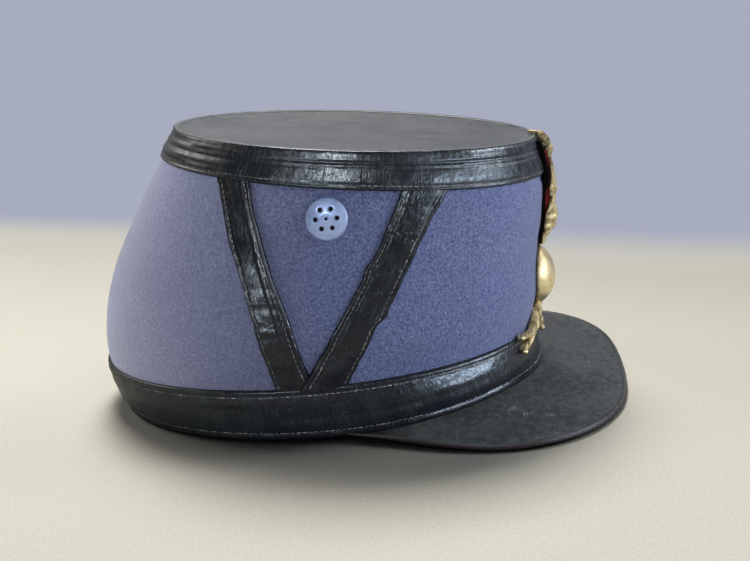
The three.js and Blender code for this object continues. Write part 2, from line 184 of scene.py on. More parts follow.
def mesh_object(name, points, faces, uv=None, marks=None):
    """Object from points in hat millimetres and faces of four corners, with any UVs and marks."""
    mesh = bpy.data.meshes.new(name)
    mesh.vertices.add(len(points))
    mesh.vertices.foreach_set("co", standing(points).astype(np.float32).ravel())
    mesh.loops.add(faces.size)
    mesh.loops.foreach_set("vertex_index", faces.astype(np.int32).ravel())
    mesh.polygons.add(len(faces))
    mesh.polygons.foreach_set("loop_start", np.arange(0, faces.size, faces.shape[1], dtype=np.int32))
    mesh.polygons.foreach_set("use_smooth", np.ones(len(faces), bool))
    if uv is not None:
        layer = mesh.uv_layers.new(name="UVMap")
        layer.uv.foreach_set("vector", uv.astype(np.float32).ravel())
    for mark, values in (marks or {}).items():
        attribute = mesh.attributes.new(mark, "FLOAT", "POINT")
        attribute.data.foreach_set("value", values.astype(np.float32).ravel())
    mesh.update(calc_edges=True)
    mesh.validate()
    mesh.set_sharp_from_angle(angle=SHARP_EDGE)
    made = bpy.data.objects.new(name, mesh)
    bpy.context.scene.collection.objects.link(made)
    return made


def shell(name, outer, inner, closed=False, uv=None, marks=None):
    """Closed sheet: an outer and an inner grid of points joined along their edges, and round on itself if
    closed. Its faces are turned outward by the sign of its volume. The UV and the marks are grids too:
    a mark may be one grid for each face of the sheet, and a closed sheet's UV has one more column."""
    count_u, count_v = outer.shape[:2]
    spans = count_u if closed else count_u - 1
    i, j = (part.ravel() for part in grid(np.arange(spans), np.arange(count_v - 1)))
    edge, low, top = np.arange(spans), 0, count_v - 1

    def corners(*places):
        """Faces from their corners, each a column, a row and 0 or 1 for the outer or inner grid."""
        return np.stack([np.stack(np.broadcast_arrays(*place), -1) for place in places], 1)

    quads = [
        corners((i, j, 0), (i + 1, j, 0), (i + 1, j + 1, 0), (i, j + 1, 0)),
        corners((i, j, 1), (i, j + 1, 1), (i + 1, j + 1, 1), (i + 1, j, 1)),
        corners((edge, low, 0), (edge, low, 1), (edge + 1, low, 1), (edge + 1, low, 0)),
        corners((edge, top, 0), (edge + 1, top, 0), (edge + 1, top, 1), (edge, top, 1)),
    ]
    if not closed:
        side, end = np.arange(count_v - 1), count_u - 1
        quads.append(corners((0, side, 0), (0, side + 1, 0), (0, side + 1, 1), (0, side, 1)))
        quads.append(corners((end, side, 0), (end, side, 1), (end, side + 1, 1), (end, side + 1, 0)))
    quads = np.concatenate(quads)
    faces = quads[..., 2] * count_u * count_v + (quads[..., 0] % count_u) * count_v + quads[..., 1]
    points = np.concatenate([outer.reshape(-1, 3), inner.reshape(-1, 3)])
    a, b, c, d = (points[faces[:, k]] for k in range(4))
    volume = np.sum(a * (np.cross(b, c) + np.cross(c, d)))
    if volume < 0:
        faces = faces[:, ::-1]
        quads = quads[:, ::-1]
    corner_uv = None if uv is None else uv[quads[..., 0], quads[..., 1]]
    both = {mark: np.broadcast_to(values, (2, count_u, count_v)) for mark, values in (marks or {}).items()}
    return mesh_object(name, points, faces, corner_uv, both)


def material(name):
    """New material with its main shader."""
    made = bpy.data.materials.new(name)
    made.use_nodes = True
    return made


def put(tree, socket, value):
    """Links a socket to another, or sets its own value."""
    if isinstance(value, bpy.types.NodeSocket):
        tree.links.new(value, socket)
    else:
        socket.default_value = value


def node(made, kind, inputs=None, **settings):
    """New node with its settings and inputs; inputs are values or other nodes' outputs."""
    new = made.node_tree.nodes.new("ShaderNode" + kind)
    for key, value in settings.items():
        setattr(new, key, value)
    for key, value in (inputs or {}).items():
        put(made.node_tree, new.inputs[key], value)
    return new


def coordinates(made, kind="Object", scale=(1, 1, 1), turn=(0, 0, 0)):
    """Object or UV coordinates, stretched and turned."""
    source = node(made, "TexCoord").outputs[kind]
    return node(made, "Mapping", {"Vector": source, "Scale": scale, "Rotation": turn}).outputs["Vector"]


def axis_of(made, vector, axis):
    """One axis of a vector."""
    return node(made, "SeparateXYZ", {"Vector": vector}).outputs[axis]


def between(made, value, start, end, most=1.0, kind="LINEAR"):
    """From 0 where a value is at start to most where it is at end, straight or smooth."""
    inputs = {"Value": value, "From Min": start, "From Max": end, "To Max": most}
    return node(made, "MapRange", inputs, interpolation_type=kind).outputs["Result"]


def noise(made, vector, scale, detail=3.0, rough=0.55):
    """Noise about 0.5, its scale in features per metre."""
    inputs = {"Vector": vector, "Scale": scale, "Detail": detail, "Roughness": rough}
    return node(made, "TexNoise", inputs).outputs["Fac"]


def ramp(made, factor, stops):
    """Colour ramp through (place, value) stops, a value being a grey level or a colour."""
    new = node(made, "ValToRGB", {"Fac": factor})
    elements = new.color_ramp.elements
    while len(elements) < len(stops):
        elements.new(0.5)
    for element, (place, value) in zip(elements, stops):
        element.position = place
        element.color = (*value, 1) if isinstance(value, tuple) else (value, value, value, 1)
    return new.outputs["Color"]


def mix(made, factor, a, b):
    """Colour a where the factor is 0, colour b where it is 1."""
    new = node(made, "Mix", data_type="RGBA")
    put(made.node_tree, new.inputs[0], factor)
    for index, value in ((6, a), (7, b)):
        put(made.node_tree, new.inputs[index], (*value, 1) if isinstance(value, tuple) else value)
    return new.outputs[2]


def maths(made, operation, a, b, clamp=False):
    """One sum on two values, kept between 0 and 1 if clamped."""
    new = node(made, "Math", operation=operation, use_clamp=clamp)
    put(made.node_tree, new.inputs[0], a)
    put(made.node_tree, new.inputs[1], b)
    return new.outputs[0]


def times(made, a, b):
    """Product of two values."""
    return maths(made, "MULTIPLY", a, b)


def plus(made, value, place, amount):
    """Value with an amount added where a place is 1, at most 1."""
    return maths(made, "ADD", value, times(made, place, amount), True)


def bump(made, height, strength, distance, below=None):
    """Relief from a height, over the relief below it if there is one."""
    inputs = {"Height": height, "Strength": strength, "Distance": distance}
    if below is not None:
        inputs["Normal"] = below
    return node(made, "Bump", inputs).outputs["Normal"]


def shade(made, **inputs):
    """Sets the main shader's sockets, named with _ for a space."""
    shader = made.node_tree.nodes["Principled BSDF"]
    for key, value in inputs.items():
        value = (*value, 1) if isinstance(value, tuple) and len(value) == 3 else value
        put(made.node_tree, shader.inputs[key.replace("_", " ")], value)
    return made


def dress(piece, finish, slot, *nodes):
    """Gives a piece its finish, the solids it stands for and its ride on the hat. The slot is not used."""
    piece.data.materials.clear()
    piece.data.materials.append(finish)
    if nodes:
        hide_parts(*nodes)
    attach(piece, "root")
    return piece


felt = material("blue_grey_felt")
here = coordinates(felt)
fibres = noise(felt, here, 1050, 4, 0.75)
tufts = noise(felt, here, 560, 3, 0.65)
patches = noise(felt, here, 38, 3, 0.5)
felt_colour = ramp(felt, fibres, FELT_SHADES)
felt_colour = mix(felt, ramp(felt, tufts, [(0.42, 0.0), (0.66, 0.4)]), felt_colour, FELT_TUFT)
felt_colour = mix(felt, ramp(felt, patches, [(0.35, 0.3), (0.65, 0.0)]), felt_colour, FELT_PATCH)
# Towards the rear the felt is mixed to a pale grey: faded dust, and a painted rim light where light from
# behind catches the rear.
felt_colour = mix(felt, between(felt, axis_of(felt, here, "X"), 0.0, -0.1, 0.45), felt_colour, FELT_DUST_AND_RIM_LIGHT)
felt_bump = bump(felt, tufts, 0.6, 0.001, bump(felt, fibres, 0.5, 0.0003))
shade(felt, Base_Color=felt_colour, Roughness=0.95, Normal=felt_bump, Specular_IOR_Level=0.1)
shade(felt, Sheen_Weight=0.55, Sheen_Roughness=0.5, Sheen_Tint=FELT_SHEEN)

turn = full_turn(320)
felt_rows = np.concatenate([
    np.linspace(0, BASE_BAND_ROW, 14)[:-1],
    np.linspace(BASE_BAND_ROW, TOP_BAND_ROW, 70)[:-1],
    np.linspace(TOP_BAND_ROW, FELT_TOP_ROW, 8),
])
angle_grid, row_grid = grid(turn, felt_rows)
wave_u = 3 * np.cos(angle_grid) + 9 + row_grid
wave_v = 3 * np.sin(angle_grid) + 9 + 1.3 * row_grid
front_share = hump(from_front(angle_grid), 0, FRONT_SWELL_ANGLE)
front_share = front_share * rise(row_grid, 3.1, 4.0) * rise(row_grid, 4.95, 4.7)
swell = FELT_WAVES * wander(wave_u, wave_v, 1) + FRONT_SWELL * front_share
felt_outer = on_felt(angle_grid, row_grid, swell)
felt_inner = on_felt(angle_grid, row_grid, swell - FELT_THICKNESS)
for face in (felt_outer, felt_inner):
    face[:, 0, 2] = 0
dress(shell("felt_wall", felt_outer, felt_inner, True), felt, "felt", "felt_body")


# Crown top: a disc of black leather stretched over the top opening.
# It lies inside the rolled edge of the top band, flat with a slight sag, and is rubbed grey by handling.
PLATE_INSET = 0.1
PLATE_LIFT = 0.35
PLATE_EDGE_LIFT = 0.2
PLATE_THICKNESS = 2.0
PLATE_SAG = 1.9
PLATE_DENT = 0.25
PLATE_DENT_SPAN = 22
TOP_SLOPE = np.arctan2(FELT_ROWS[-1, 1] - FELT_ROWS[-1, 0], FELT_ROWS[-1, 2] - FELT_ROWS[-1, 3])
TOP_UP = np.array([np.sin(TOP_SLOPE), 0, np.cos(TOP_SLOPE)])
CROWN_SHADES = [(0.3, (0.022, 0.026, 0.03)), (0.7, (0.05, 0.054, 0.058))]
CROWN_DUST = (0.12, 0.12, 0.112)


def crown_point(angle, distance, lift):
    """Point near the crown's edge: out from the edge in the tipped top plane, and up along its normal."""
    round_way = felt_point(angle + WALL_STEP, TOP_ROW) - felt_point(angle - WALL_STEP, TOP_ROW)
    away = unit(np.cross(round_way, TOP_UP))
    distance, lift = np.asarray(distance, float), np.asarray(lift, float)
    return felt_point(angle, TOP_ROW) + distance[..., None] * away + lift[..., None] * TOP_UP


angle_grid, ring_grid = grid(turn, np.linspace(1, 0, 60))
plate_edge = crown_point(angle_grid, 0 * ring_grid - PLATE_INSET, 0 * ring_grid)
plate_middle = crown_point(turn, 0 * turn, 0 * turn).mean(0)
flat = plate_middle + (plate_edge - plate_middle) * ring_grid[..., None]
inward = 1 - ring_grid**4
dents = wander(flat[..., 0] / PLATE_DENT_SPAN + 50, flat[..., 1] / PLATE_DENT_SPAN + 50, 2)
sag = PLATE_SAG * inward - PLATE_LIFT - PLATE_EDGE_LIFT * rise(ring_grid, 0.96, 1.0)
plate_top = flat - (sag - PLATE_DENT * dents * inward)[..., None] * TOP_UP
plate_under = flat - (sag + PLATE_THICKNESS)[..., None] * TOP_UP

crown_leather = material("rubbed_black_leather")
here = coordinates(crown_leather)
grain = noise(crown_leather, here, 1300, 3, 0.6)
rub = noise(crown_leather, here, 26, 4, 0.6)
dust = noise(crown_leather, here, 160, 4, 0.65)
dusty = ramp(crown_leather, dust, [(0.46, 0.0), (0.74, 0.45)])
crown_colour = mix(crown_leather, dusty, ramp(crown_leather, rub, CROWN_SHADES), CROWN_DUST)
crown_rough = ramp(crown_leather, rub, [(0.3, 0.36), (0.7, 0.5)])
crown_bump = bump(crown_leather, grain, 0.5, 0.0004, bump(crown_leather, dust, 0.2, 0.001))
shade(crown_leather, Base_Color=crown_colour, Roughness=crown_rough, Normal=crown_bump)
shade(crown_leather, Specular_IOR_Level=0.36)
dress(shell("crown_disc", plate_top, plate_under, True), crown_leather, "crown_leather", "crown_top")


# Top band: a strip of black leather sewn round the top of the wall near its lower edge.
# Its upper edge is turned over a cord into a raised roll that laps onto the crown,
# and the strip has creased with age.
BAND_THICKNESS = 1.6
BAND_GAP = 0.3
BAND_INNER_GAP = 0.05
BAND_ROUNDING = 1.0
ROLL_MIDDLE = 0.1
ROLL_REACH = 1.8
ROLL_SEAT = 0.3
ROLL_HEIGHT = 0.65
ROLL_LEATHER = 1.2
ROLL_KNURL = 0.06
TOP_SHOULDER_ROW = 5.9
TOP_SEAM = 1.7
TOP_GROOVES = [
    # below the roll, breadth, depth, span of its breaks, where it starts and ends to break, seed
    (3.2, 0.7, 0.45, 60, -0.9, 0.2, 31),
    (5.4, 0.6, 0.3, 45, -0.1, 0.6, 32),
]
REAR_FOLDS = 0.45
LEATHER_REAR = (0.015, 0.016, 0.0122)
LEATHER_CRACK = (0.07, 0.066, 0.06)
LEATHER_WEAR_AND_HIGHLIGHT = (0.115, 0.114, 0.104)
LEATHER_BINDING_SHADE = (0.0015, 0.0015, 0.0018)
BAND_BLACK = (0.004, 0.0043, 0.0052)
BAND_BROWN = (0.008, 0.008, 0.0075)
STITCH_PITCH = 2.4
STITCH_LENGTH = 2.0
STITCH_WIDTH = 0.5
STITCH_LIFT = 0.08
STITCH_SIDES = 6
THREAD_SHADES = [(0.4, (0.085, 0.066, 0.054)), (0.6, (0.038, 0.031, 0.027)), (0.8, (0.012, 0.011, 0.01))]


def rounded(inset, radius):
    """Share of a sheet's thickness at an inset from its edge: a quarter circle, never quite nothing."""
    t = np.clip(inset / radius, 0, 1)
    return 0.12 + 0.88 * np.sqrt(1 - (1 - t) ** 2)


def round_uv(points):
    """UV of a closed strip in metres: the mean distance round it and the distance up it.
    A last column stands where the strip meets itself."""
    points = np.concatenate([points, points[:1]])
    u_step = np.linalg.norm(np.diff(points, axis=0), axis=-1)
    v_step = np.linalg.norm(np.diff(points, axis=1), axis=-1)
    u = np.concatenate([np.zeros((1, points.shape[1])), np.cumsum(u_step, 0)])
    v = np.concatenate([np.zeros((points.shape[0], 1)), np.cumsum(v_step, 1)], 1)
    return np.stack([np.broadcast_to(u.mean(1, keepdims=True), u.shape), v], -1) / 1000


def strip_measures(points):
    """Millimetres round and up a closed strip, and its height at each angle."""
    measured = 1000 * round_uv(points)[:-1]
    return measured[..., 0], measured[..., 1], measured[:, -1:, 1]


def nearest(values, target):
    """Index of the value nearest to a target."""
    return int(np.argmin(np.abs(values - target)))


def creases(u, v, seed):
    """Leather creases in millimetres: short upright folds, longer lying folds and fine crazing."""
    upright = wander(u / 3.4, v / 11, seed)
    lying = wander(u / 26, v / 2.6, seed + 1)
    fine = wander(u / 1.1, v / 2.4, seed + 2)
    place = rise(wander(u / 34, v / 30, seed + 3), -0.4, 0.7)
    return 0.12 * np.minimum(upright, 0.3) * place + 0.15 * lying + 0.03 * fine * place


def mark(made, name):
    """A mesh's mark, 0 on a piece that lacks it."""
    return node(made, "Attribute", attribute_name=name).outputs["Fac"]


def leather(name, black, brown, rough, crack_depth):
    """Finished leather: grain and crumpling all over, and broken upright cracks and fine streaks on the
    strip's UV. It browns towards the hat's rear. The rubbed mark greys and roughens it as wear, and along
    the top band's roll it also paints a highlight line. The binding's mark blackens it: painted shade at
    the foot of the base band."""
    made = material(name)
    here = coordinates(made)
    grain = noise(made, here, 1500, 3, 0.6)
    wear = noise(made, here, 55, 4, 0.6)
    crumple = noise(made, here, 150, 2.5, 0.55)
    stretched = coordinates(made, "UV", (1, 0.3, 1))
    inputs = {"Vector": stretched, "Scale": 900, "Randomness": 1.0}
    cells = node(made, "TexVoronoi", inputs, feature="DISTANCE_TO_EDGE").outputs["Distance"]
    broken = ramp(made, noise(made, coordinates(made, "UV"), 90, 3, 0.6), [(0.43, 0.0), (0.62, 1.0)])
    crack = times(made, ramp(made, cells, [(0.0, 1.0), (0.06, 0.0)]), broken)
    drawn = coordinates(made, "UV", (1, 0.1, 1))
    streaks = ramp(made, noise(made, drawn, 640, 2, 0.6), [(0.52, 0.0), (0.63, 1.0)])
    rear = between(made, axis_of(made, here, "X"), -0.03, -0.095)
    rubbed = mark(made, "rubbed")
    browned = times(made, rear, ramp(made, wear, [(0.35, 0.25), (0.65, 0.8)]))
    greyed_and_highlit = times(made, rubbed, ramp(made, wear, [(0.3, 0.6), (0.7, 1.0)]))
    colour = mix(made, ramp(made, wear, [(0.45, 0.0), (0.8, 0.5)]), black, brown)
    colour = mix(made, browned, colour, LEATHER_REAR)
    colour = mix(made, times(made, crack, 0.15), colour, LEATHER_CRACK)
    colour = mix(made, greyed_and_highlit, colour, LEATHER_WEAR_AND_HIGHLIGHT)
    colour = mix(made, times(made, mark(made, "binding_shade"), 0.7), colour, LEATHER_BINDING_SHADE)
    roughness = ramp(made, wear, [(0.35, rough), (0.7, rough + 0.12)])
    for place, amount in ((rubbed, 0.28), (rear, 0.24), (crack, 0.2), (streaks, 0.16)):
        roughness = plus(made, roughness, place, amount)
    depth = maths(made, "SUBTRACT", times(made, grain, 0.4), crack)
    normal = bump(made, crumple, 0.32, 0.0013, bump(made, depth, crack_depth, 0.0003))
    return shade(made, Base_Color=colour, Roughness=roughness, Normal=normal, Specular_IOR_Level=0.19)


def run_along(points):
    """Distance run along a path of points."""
    return np.concatenate([[0], np.cumsum(np.linalg.norm(np.diff(points, axis=0), axis=1))])


def along_path(where, run, values):
    """Values of a path at distances along it, straight between its points."""
    return np.stack([np.interp(where, run, values[:, k]) for k in range(values.shape[1])], -1)


def stitches(path, normals, seed):
    """Row of stitches: small spindles of six sides, one a pitch along a path, half sunk in the leather.
    A spindle's radius is the square root of 1 - x4, and each stitch turns and fades a little by chance."""
    path = path + STITCH_LIFT * normals
    run = run_along(path)
    chance = np.random.default_rng(seed)
    places = np.arange(STITCH_PITCH / 2, run[-1], STITCH_PITCH)
    count = len(places)
    places = places + chance.uniform(-0.08, 0.08, count) * STITCH_PITCH
    centre = along_path(places, run, path)
    ahead = unit(along_path(places + 0.3, run, path) - along_path(places - 0.3, run, path))
    up = unit(along_path(places, run, normals))
    aside = np.cross(up, ahead)
    lean = chance.uniform(-0.16, 0.16, count)[:, None]
    ahead, aside = ahead * np.cos(lean) + aside * np.sin(lean), aside * np.cos(lean) - ahead * np.sin(lean)
    x = np.array([-1, -0.75, 0, 0.75, 1])
    sides = full_turn(STITCH_SIDES)
    radius = np.sqrt(1.02 - x**4)[:, None]
    size = chance.uniform(0.85, 1.15, count)[:, None, None, None]
    lengthwise = (x * STITCH_LENGTH / 2)[None, :, None, None] * ahead[:, None, None, :]
    across = (radius * np.cos(sides) * STITCH_WIDTH / 2)[None, ..., None] * aside[:, None, None, :]
    upward = (radius * np.sin(sides) * STITCH_WIDTH * 0.42)[None, ..., None] * up[:, None, None, :]
    points = centre[:, None, None, :] + (lengthwise + across + upward) * size
    fade = np.broadcast_to(chance.uniform(0, 1, count)[:, None, None], points.shape[:3])
    i, j = (part.ravel() for part in grid(np.arange(len(x) - 1), np.arange(STITCH_SIDES)))
    near, far, next_side = i * STITCH_SIDES, (i + 1) * STITCH_SIDES, (j + 1) % STITCH_SIDES
    walls = np.stack([near + next_side, far + next_side, far + j, near + j], -1)
    cap = np.array([[0, 1, 2, 3], [0, 3, 4, 5]])
    one = np.concatenate([walls, cap[:, ::-1], (len(x) - 1) * STITCH_SIDES + cap])
    starts = np.arange(count) * len(x) * STITCH_SIDES
    faces = (one[None] + starts[:, None, None]).reshape(-1, 4)
    return points.reshape(-1, 3), faces, fade.ravel()


def seam(outer, row, seed):
    """Stitches round a closed strip, along one row of its outer grid."""
    round_way = (np.roll(outer, -1, 0) - np.roll(outer, 1, 0))[:, row]
    normals = unit(np.cross(round_way, np.gradient(outer, axis=1)[:, row]))
    path = outer[:, row]
    return stitches(np.concatenate([path, path[:1]]), np.concatenate([normals, normals[:1]]), seed)


thread = material("waxed_tan_thread")
soiled = noise(thread, coordinates(thread), 60, 3, 0.6)
soil = plus(thread, times(thread, mark(thread, "fade"), 0.5), soiled, 0.8)
shade(thread, Base_Color=ramp(thread, soil, THREAD_SHADES), Roughness=0.8)


def thread_piece(name, rows):
    """One object from several rows of stitches."""
    starts = np.cumsum([0] + [len(points) for points, faces, fade in rows])
    points = np.concatenate([row[0] for row in rows])
    faces = np.concatenate([row[1] + start for row, start in zip(rows, starts)])
    fade = np.concatenate([row[2] for row in rows])
    return dress(mesh_object(name, points, faces, None, {"fade": fade}), thread, None)


band_leather = leather("creased_black_leather", BAND_BLACK, BAND_BROWN, 0.16, 0.17)
band_turn = full_turn(640)
wall_share = np.concatenate([np.linspace(0, 0.06, 5)[:-1], np.linspace(0.06, 1, 34)])
angle_grid, row_grid = grid(band_turn, TOP_BAND_ROW + (TOP_SHOULDER_ROW - TOP_BAND_ROW) * wall_share)
bare_wall = felt_point(angle_grid, row_grid)
u, v, height = strip_measures(bare_wall)
thickness = BAND_THICKNESS * rounded(v, BAND_ROUNDING) - 0.3 * hump(v, TOP_SEAM, 0.8)
for below, breadth, depth, span, start, end, seed in TOP_GROOVES:
    thickness -= depth * hump(v, height - below, breadth) * rise(wander(u / span, 0 * v, seed), start, end)
thickness += REAR_FOLDS * rise(bare_wall[..., 0], -5, -50) * wander(u / 30, v / 1.5, 35) * rise(v, 1, 4)
thickness += creases(u, v, 33) * rise(v, 0.5, 3) * rise(height - v, 0, 2)
wall_outer = on_felt(angle_grid, row_grid, BAND_GAP + thickness)
wall_inner = on_felt(angle_grid, row_grid, BAND_INNER_GAP + 0 * v)
roll_angle, roll = grid(band_turn, np.linspace(0, np.pi, 15)[1:])
knurl = ROLL_KNURL * wander(np.arange(len(band_turn))[:, None] / 5, roll, 34)
roll_reach = ROLL_MIDDLE + ROLL_REACH * np.cos(roll)
roll_outer = crown_point(roll_angle, roll_reach, ROLL_SEAT + (ROLL_HEIGHT + knurl) * np.sin(roll))
roll_reach = ROLL_MIDDLE + (ROLL_REACH - ROLL_LEATHER) * np.cos(roll)
roll_inner = crown_point(roll_angle, roll_reach, 0 * roll - 0.2)
top_outer = np.concatenate([wall_outer, roll_outer], 1)
top_inner = np.concatenate([wall_inner, roll_inner], 1)
# The roll's mark is wear over its top and a narrow painted highlight line along its crest; the wall gets a
# faint even grey.
roll_wear_and_highlight = np.maximum(0.4 * rise(roll, 0.9, 1.9), hump(roll, 1.3, 0.24))
wear_and_highlight_marks = {"rubbed": np.concatenate([0.03 + 0 * v, roll_wear_and_highlight], 1)}
top_strip = shell("top_band_strip", top_outer, top_inner, True, round_uv(top_outer), wear_and_highlight_marks)
dress(top_strip, band_leather, "band_leather", "top_band")
thread_piece("top_band_thread", [seam(wall_outer, nearest(v[0], TOP_SEAM), 41)])


# Base band: a wider strip of black leather round the foot of the wall, sewn along both edges.
# Its lower seam also holds a narrow binding at the base, and at the front the strip laps up over the peak.
BASE_BAND_HEIGHT = 23.5
BASE_THICKNESS = 1.2
BASE_BULGE = 1.0
FRONT_BULGE = 1.5
FRONT_BULGE_ANGLE = np.radians(45)
FRONT_BULGE_SPREAD = np.radians(22)
BASE_LOW_SEAM = 3.2
BASE_HIGH_SEAM = 2.3
BINDING_HEIGHT = 4.1
BAND_HEM = 0.6
HEM_DROP = 0.4
PEAK_CLIMB = 3.5
PEAK_HALF_ANGLE = np.radians(80)
CLIMB_START = 0.35


def climb(angle):
    """Share of the lap over the peak at an angle: all of it at the front, none at the peak's ends."""
    return 1 - rise(np.abs(from_front(angle)), PEAK_HALF_ANGLE * CLIMB_START, PEAK_HALF_ANGLE)


share = np.concatenate([
    np.linspace(0, 0.05, 5)[:-1],
    np.linspace(0.05, 0.95, 46),
    np.linspace(0.95, 1, 5)[1:],
])
angle_grid, share_grid = grid(band_turn, share)
hem = BAND_HEM - HEM_DROP + PEAK_CLIMB * climb(angle_grid)
base_rows = (hem + (BASE_BAND_HEIGHT - hem) * share_grid) / BASE_BAND_HEIGHT
u, v, height = strip_measures(felt_point(angle_grid, base_rows))
across_strip = np.clip((v - BASE_LOW_SEAM) / (height - BASE_LOW_SEAM), 0, 1)
turned = np.abs(from_front(angle_grid))
bulge = BASE_BULGE + FRONT_BULGE * hump(turned, FRONT_BULGE_ANGLE, FRONT_BULGE_SPREAD)
bulge = bulge * rise(turned, np.radians(20), np.radians(31))
thickness = BASE_THICKNESS * rounded(v, BAND_ROUNDING) * rounded(height - v, BAND_ROUNDING)
thickness += bulge * np.sin(np.pi * across_strip**0.66) ** 0.9
thickness -= 0.25 * hump(v, BASE_LOW_SEAM, 0.7) + 0.2 * hump(height - v, BASE_HIGH_SEAM, 0.7)
thickness += creases(u, v, 51) * rise(v, 3.2, 6) * rise(height - v, 1, 4) + 0.12 * hump(v, 1.5, 1.2)
base_outer = on_felt(angle_grid, base_rows, BAND_GAP + thickness)
base_inner = on_felt(angle_grid, base_rows, BAND_INNER_GAP + 0 * v)
# The binding at the foot of the base band is blackened: painted shade where the band meets the floor.
binding = {"binding_shade": rise(BINDING_HEIGHT - v, 0, 1.0)}
base_strip = shell("base_band_strip", base_outer, base_inner, True, round_uv(base_outer), binding)
dress(base_strip, band_leather, "band_leather", "base_band")
low_seam = seam(base_outer, nearest(v[0], BASE_LOW_SEAM), 42)
high_seam = seam(base_outer, nearest(height[0] - v[0], BASE_HIGH_SEAM), 43)
thread_piece("base_band_thread", [low_seam, high_seam])


# Peak: a stiff plate of jacked leather, sewn under the base band and pressed into a shallow curve.
# A line is creased into it just inside the rim, its cut edge is brown, and its face is scuffed.
PEAK_THICKNESS = 2.6
PEAK_SEAT_GAP = 0.45
PEAK_DROOP = 0.25
PEAK_LINE = 2.4
PEAK_THIN_END = 0.15
PEAK_SCUFFS = np.array([
    # forward, sideways, reach of a rubbed place
    [99, -66, 3],
    [109, -67, 3],
    [93, -61, 3.2],
])
PEAK_RIM = np.array([
    # forward, sideways, height of the lower edge
    [145.4, 0, -5.2],
    [143, 37.5, -5.2],
    [135.4, 61, -4.7],
    [123, 77.5, -4.1],
    [106.4, 88, -3.5],
    [87.4, 91.8, -3.3],
    [66, 89, -2.2],
    [46, 83, -1.2],
    [22, 76.4, -0.5],
])
PEAK_SHADES = [(0.3, (0.008, 0.0083, 0.0078)), (0.7, (0.024, 0.0245, 0.022))]
PEAK_DUST = (0.05, 0.049, 0.043)
PEAK_SCRATCH = (0.2, 0.195, 0.175)
PEAK_CUT_EDGE_AND_END_SHADE = (0.009, 0.0052, 0.005)


def peak_edge(place):
    """Rim point at a share of the rim's length from its right end: the smooth curve, evenly spaced."""
    table = np.concatenate([(PEAK_RIM * [1, -1, 1])[::-1], PEAK_RIM[1:]])
    fine = smooth_curve(table, np.linspace(0, len(table) - 1, 900))
    run = run_along(fine)
    return along_path(place * run[-1], run, fine)


rings = np.concatenate([np.linspace(0, 0.86, 44)[:-1], np.linspace(0.86, 1, 34)])
sweep_grid, ring_grid = grid(np.linspace(-1, 1, 260), rings)
to_end = 1 - np.abs(sweep_grid)
peak_angle = sweep_grid * PEAK_HALF_ANGLE
seat_z = BAND_HEM + PEAK_CLIMB * climb(peak_angle) - BAND_GAP
seat = on_felt(peak_angle, seat_z / BASE_BAND_HEIGHT, PEAK_SEAT_GAP + 0 * ring_grid)
tip = peak_edge((sweep_grid + 1) / 2)
peak_flat = seat + (tip - seat) * ring_grid[..., None]
fall = ring_grid * (1 - PEAK_DROOP) + ring_grid**2 * PEAK_DROOP
mid_z = seat_z + (tip[..., 2] + PEAK_THICKNESS - seat_z) * fall - PEAK_THICKNESS / 2
inset = (1 - ring_grid) * np.linalg.norm(tip - seat, axis=-1)
half_thick = PEAK_THICKNESS / 2 * rounded(inset, 1.1)
lip = 0.25 * hump(inset, 1.0, 0.8) - 0.35 * hump(inset, PEAK_LINE, 0.55)
x, y = peak_flat[..., 0], peak_flat[..., 1]
waves = 0.18 * wander(x / 13 + 40, y / 13 + 40, 61) + 0.04 * wander(x / 3 + 40, y / 3 + 40, 62)
waves = waves * rise(inset, 1, 8) * rise(ring_grid, 0, 0.1)
thin_end = PEAK_THIN_END + (1 - PEAK_THIN_END) * rise(to_end, 0, 0.16)
peak_top, peak_under = peak_flat.copy(), peak_flat.copy()
peak_top[..., 2] = mid_z + half_thick + lip + waves
peak_under[..., 2] = mid_z + half_thick * (1 - 2 * thin_end) + 0.3 * waves * thin_end

peak_leather = material("scuffed_peak_leather")
here = coordinates(peak_leather)
grain = noise(peak_leather, here, 1400, 3, 0.6)
wear = noise(peak_leather, here, 34, 4, 0.6)
dust = noise(peak_leather, here, 330, 4, 0.7)
streaked = coordinates(peak_leather, "Object", (1, 0.025, 1), (0, 0, 0.45))
scuff = noise(peak_leather, streaked, 700, 4, 0.7)
scratch = ramp(peak_leather, scuff, [(0.3, 0.0), (0.8, 1.0)])
scratch = plus(peak_leather, scratch, mark(peak_leather, "rubbed"), 0.42)
scratch = ramp(peak_leather, scratch, [(0.66, 0.0), (1.0, 0.34)])
dusty = ramp(peak_leather, dust, [(0.44, 0.0), (0.66, 0.5)])
peak_colour = mix(peak_leather, dusty, ramp(peak_leather, wear, PEAK_SHADES), PEAK_DUST)
peak_colour = mix(peak_leather, scratch, peak_colour, PEAK_SCRATCH)
peak_colour = mix(peak_leather, mark(peak_leather, "edge"), peak_colour, PEAK_CUT_EDGE_AND_END_SHADE)
peak_rough = ramp(peak_leather, wear, [(0.3, 0.36), (0.7, 0.54)])
peak_bump = bump(peak_leather, dust, 0.25, 0.0006, bump(peak_leather, grain, 0.35, 0.0003))
peak_bump = bump(peak_leather, scuff, 0.22, 0.0004, peak_bump)
shade(peak_leather, Base_Color=peak_colour, Roughness=peak_rough, Normal=peak_bump, Specular_IOR_Level=0.14)

to_scuff = np.linalg.norm(peak_flat[..., None, :2] - PEAK_SCUFFS[:, :2], axis=-1)
peak_marks = {
    # The edge mark browns the cut rim, and near the peak's two ends it darkens the face as painted shade
    # under the band.
    "edge": np.maximum(rise(inset, 0.9, 0.2), rise(to_end, 0.22, 0.03)),
    "rubbed": hump(to_scuff, 0, PEAK_SCUFFS[:, 2]).sum(-1),
}
peak_piece = shell("peak_plate", peak_top, peak_under, False, None, peak_marks)
dress(peak_piece, peak_leather, "peak_leather", "peak")


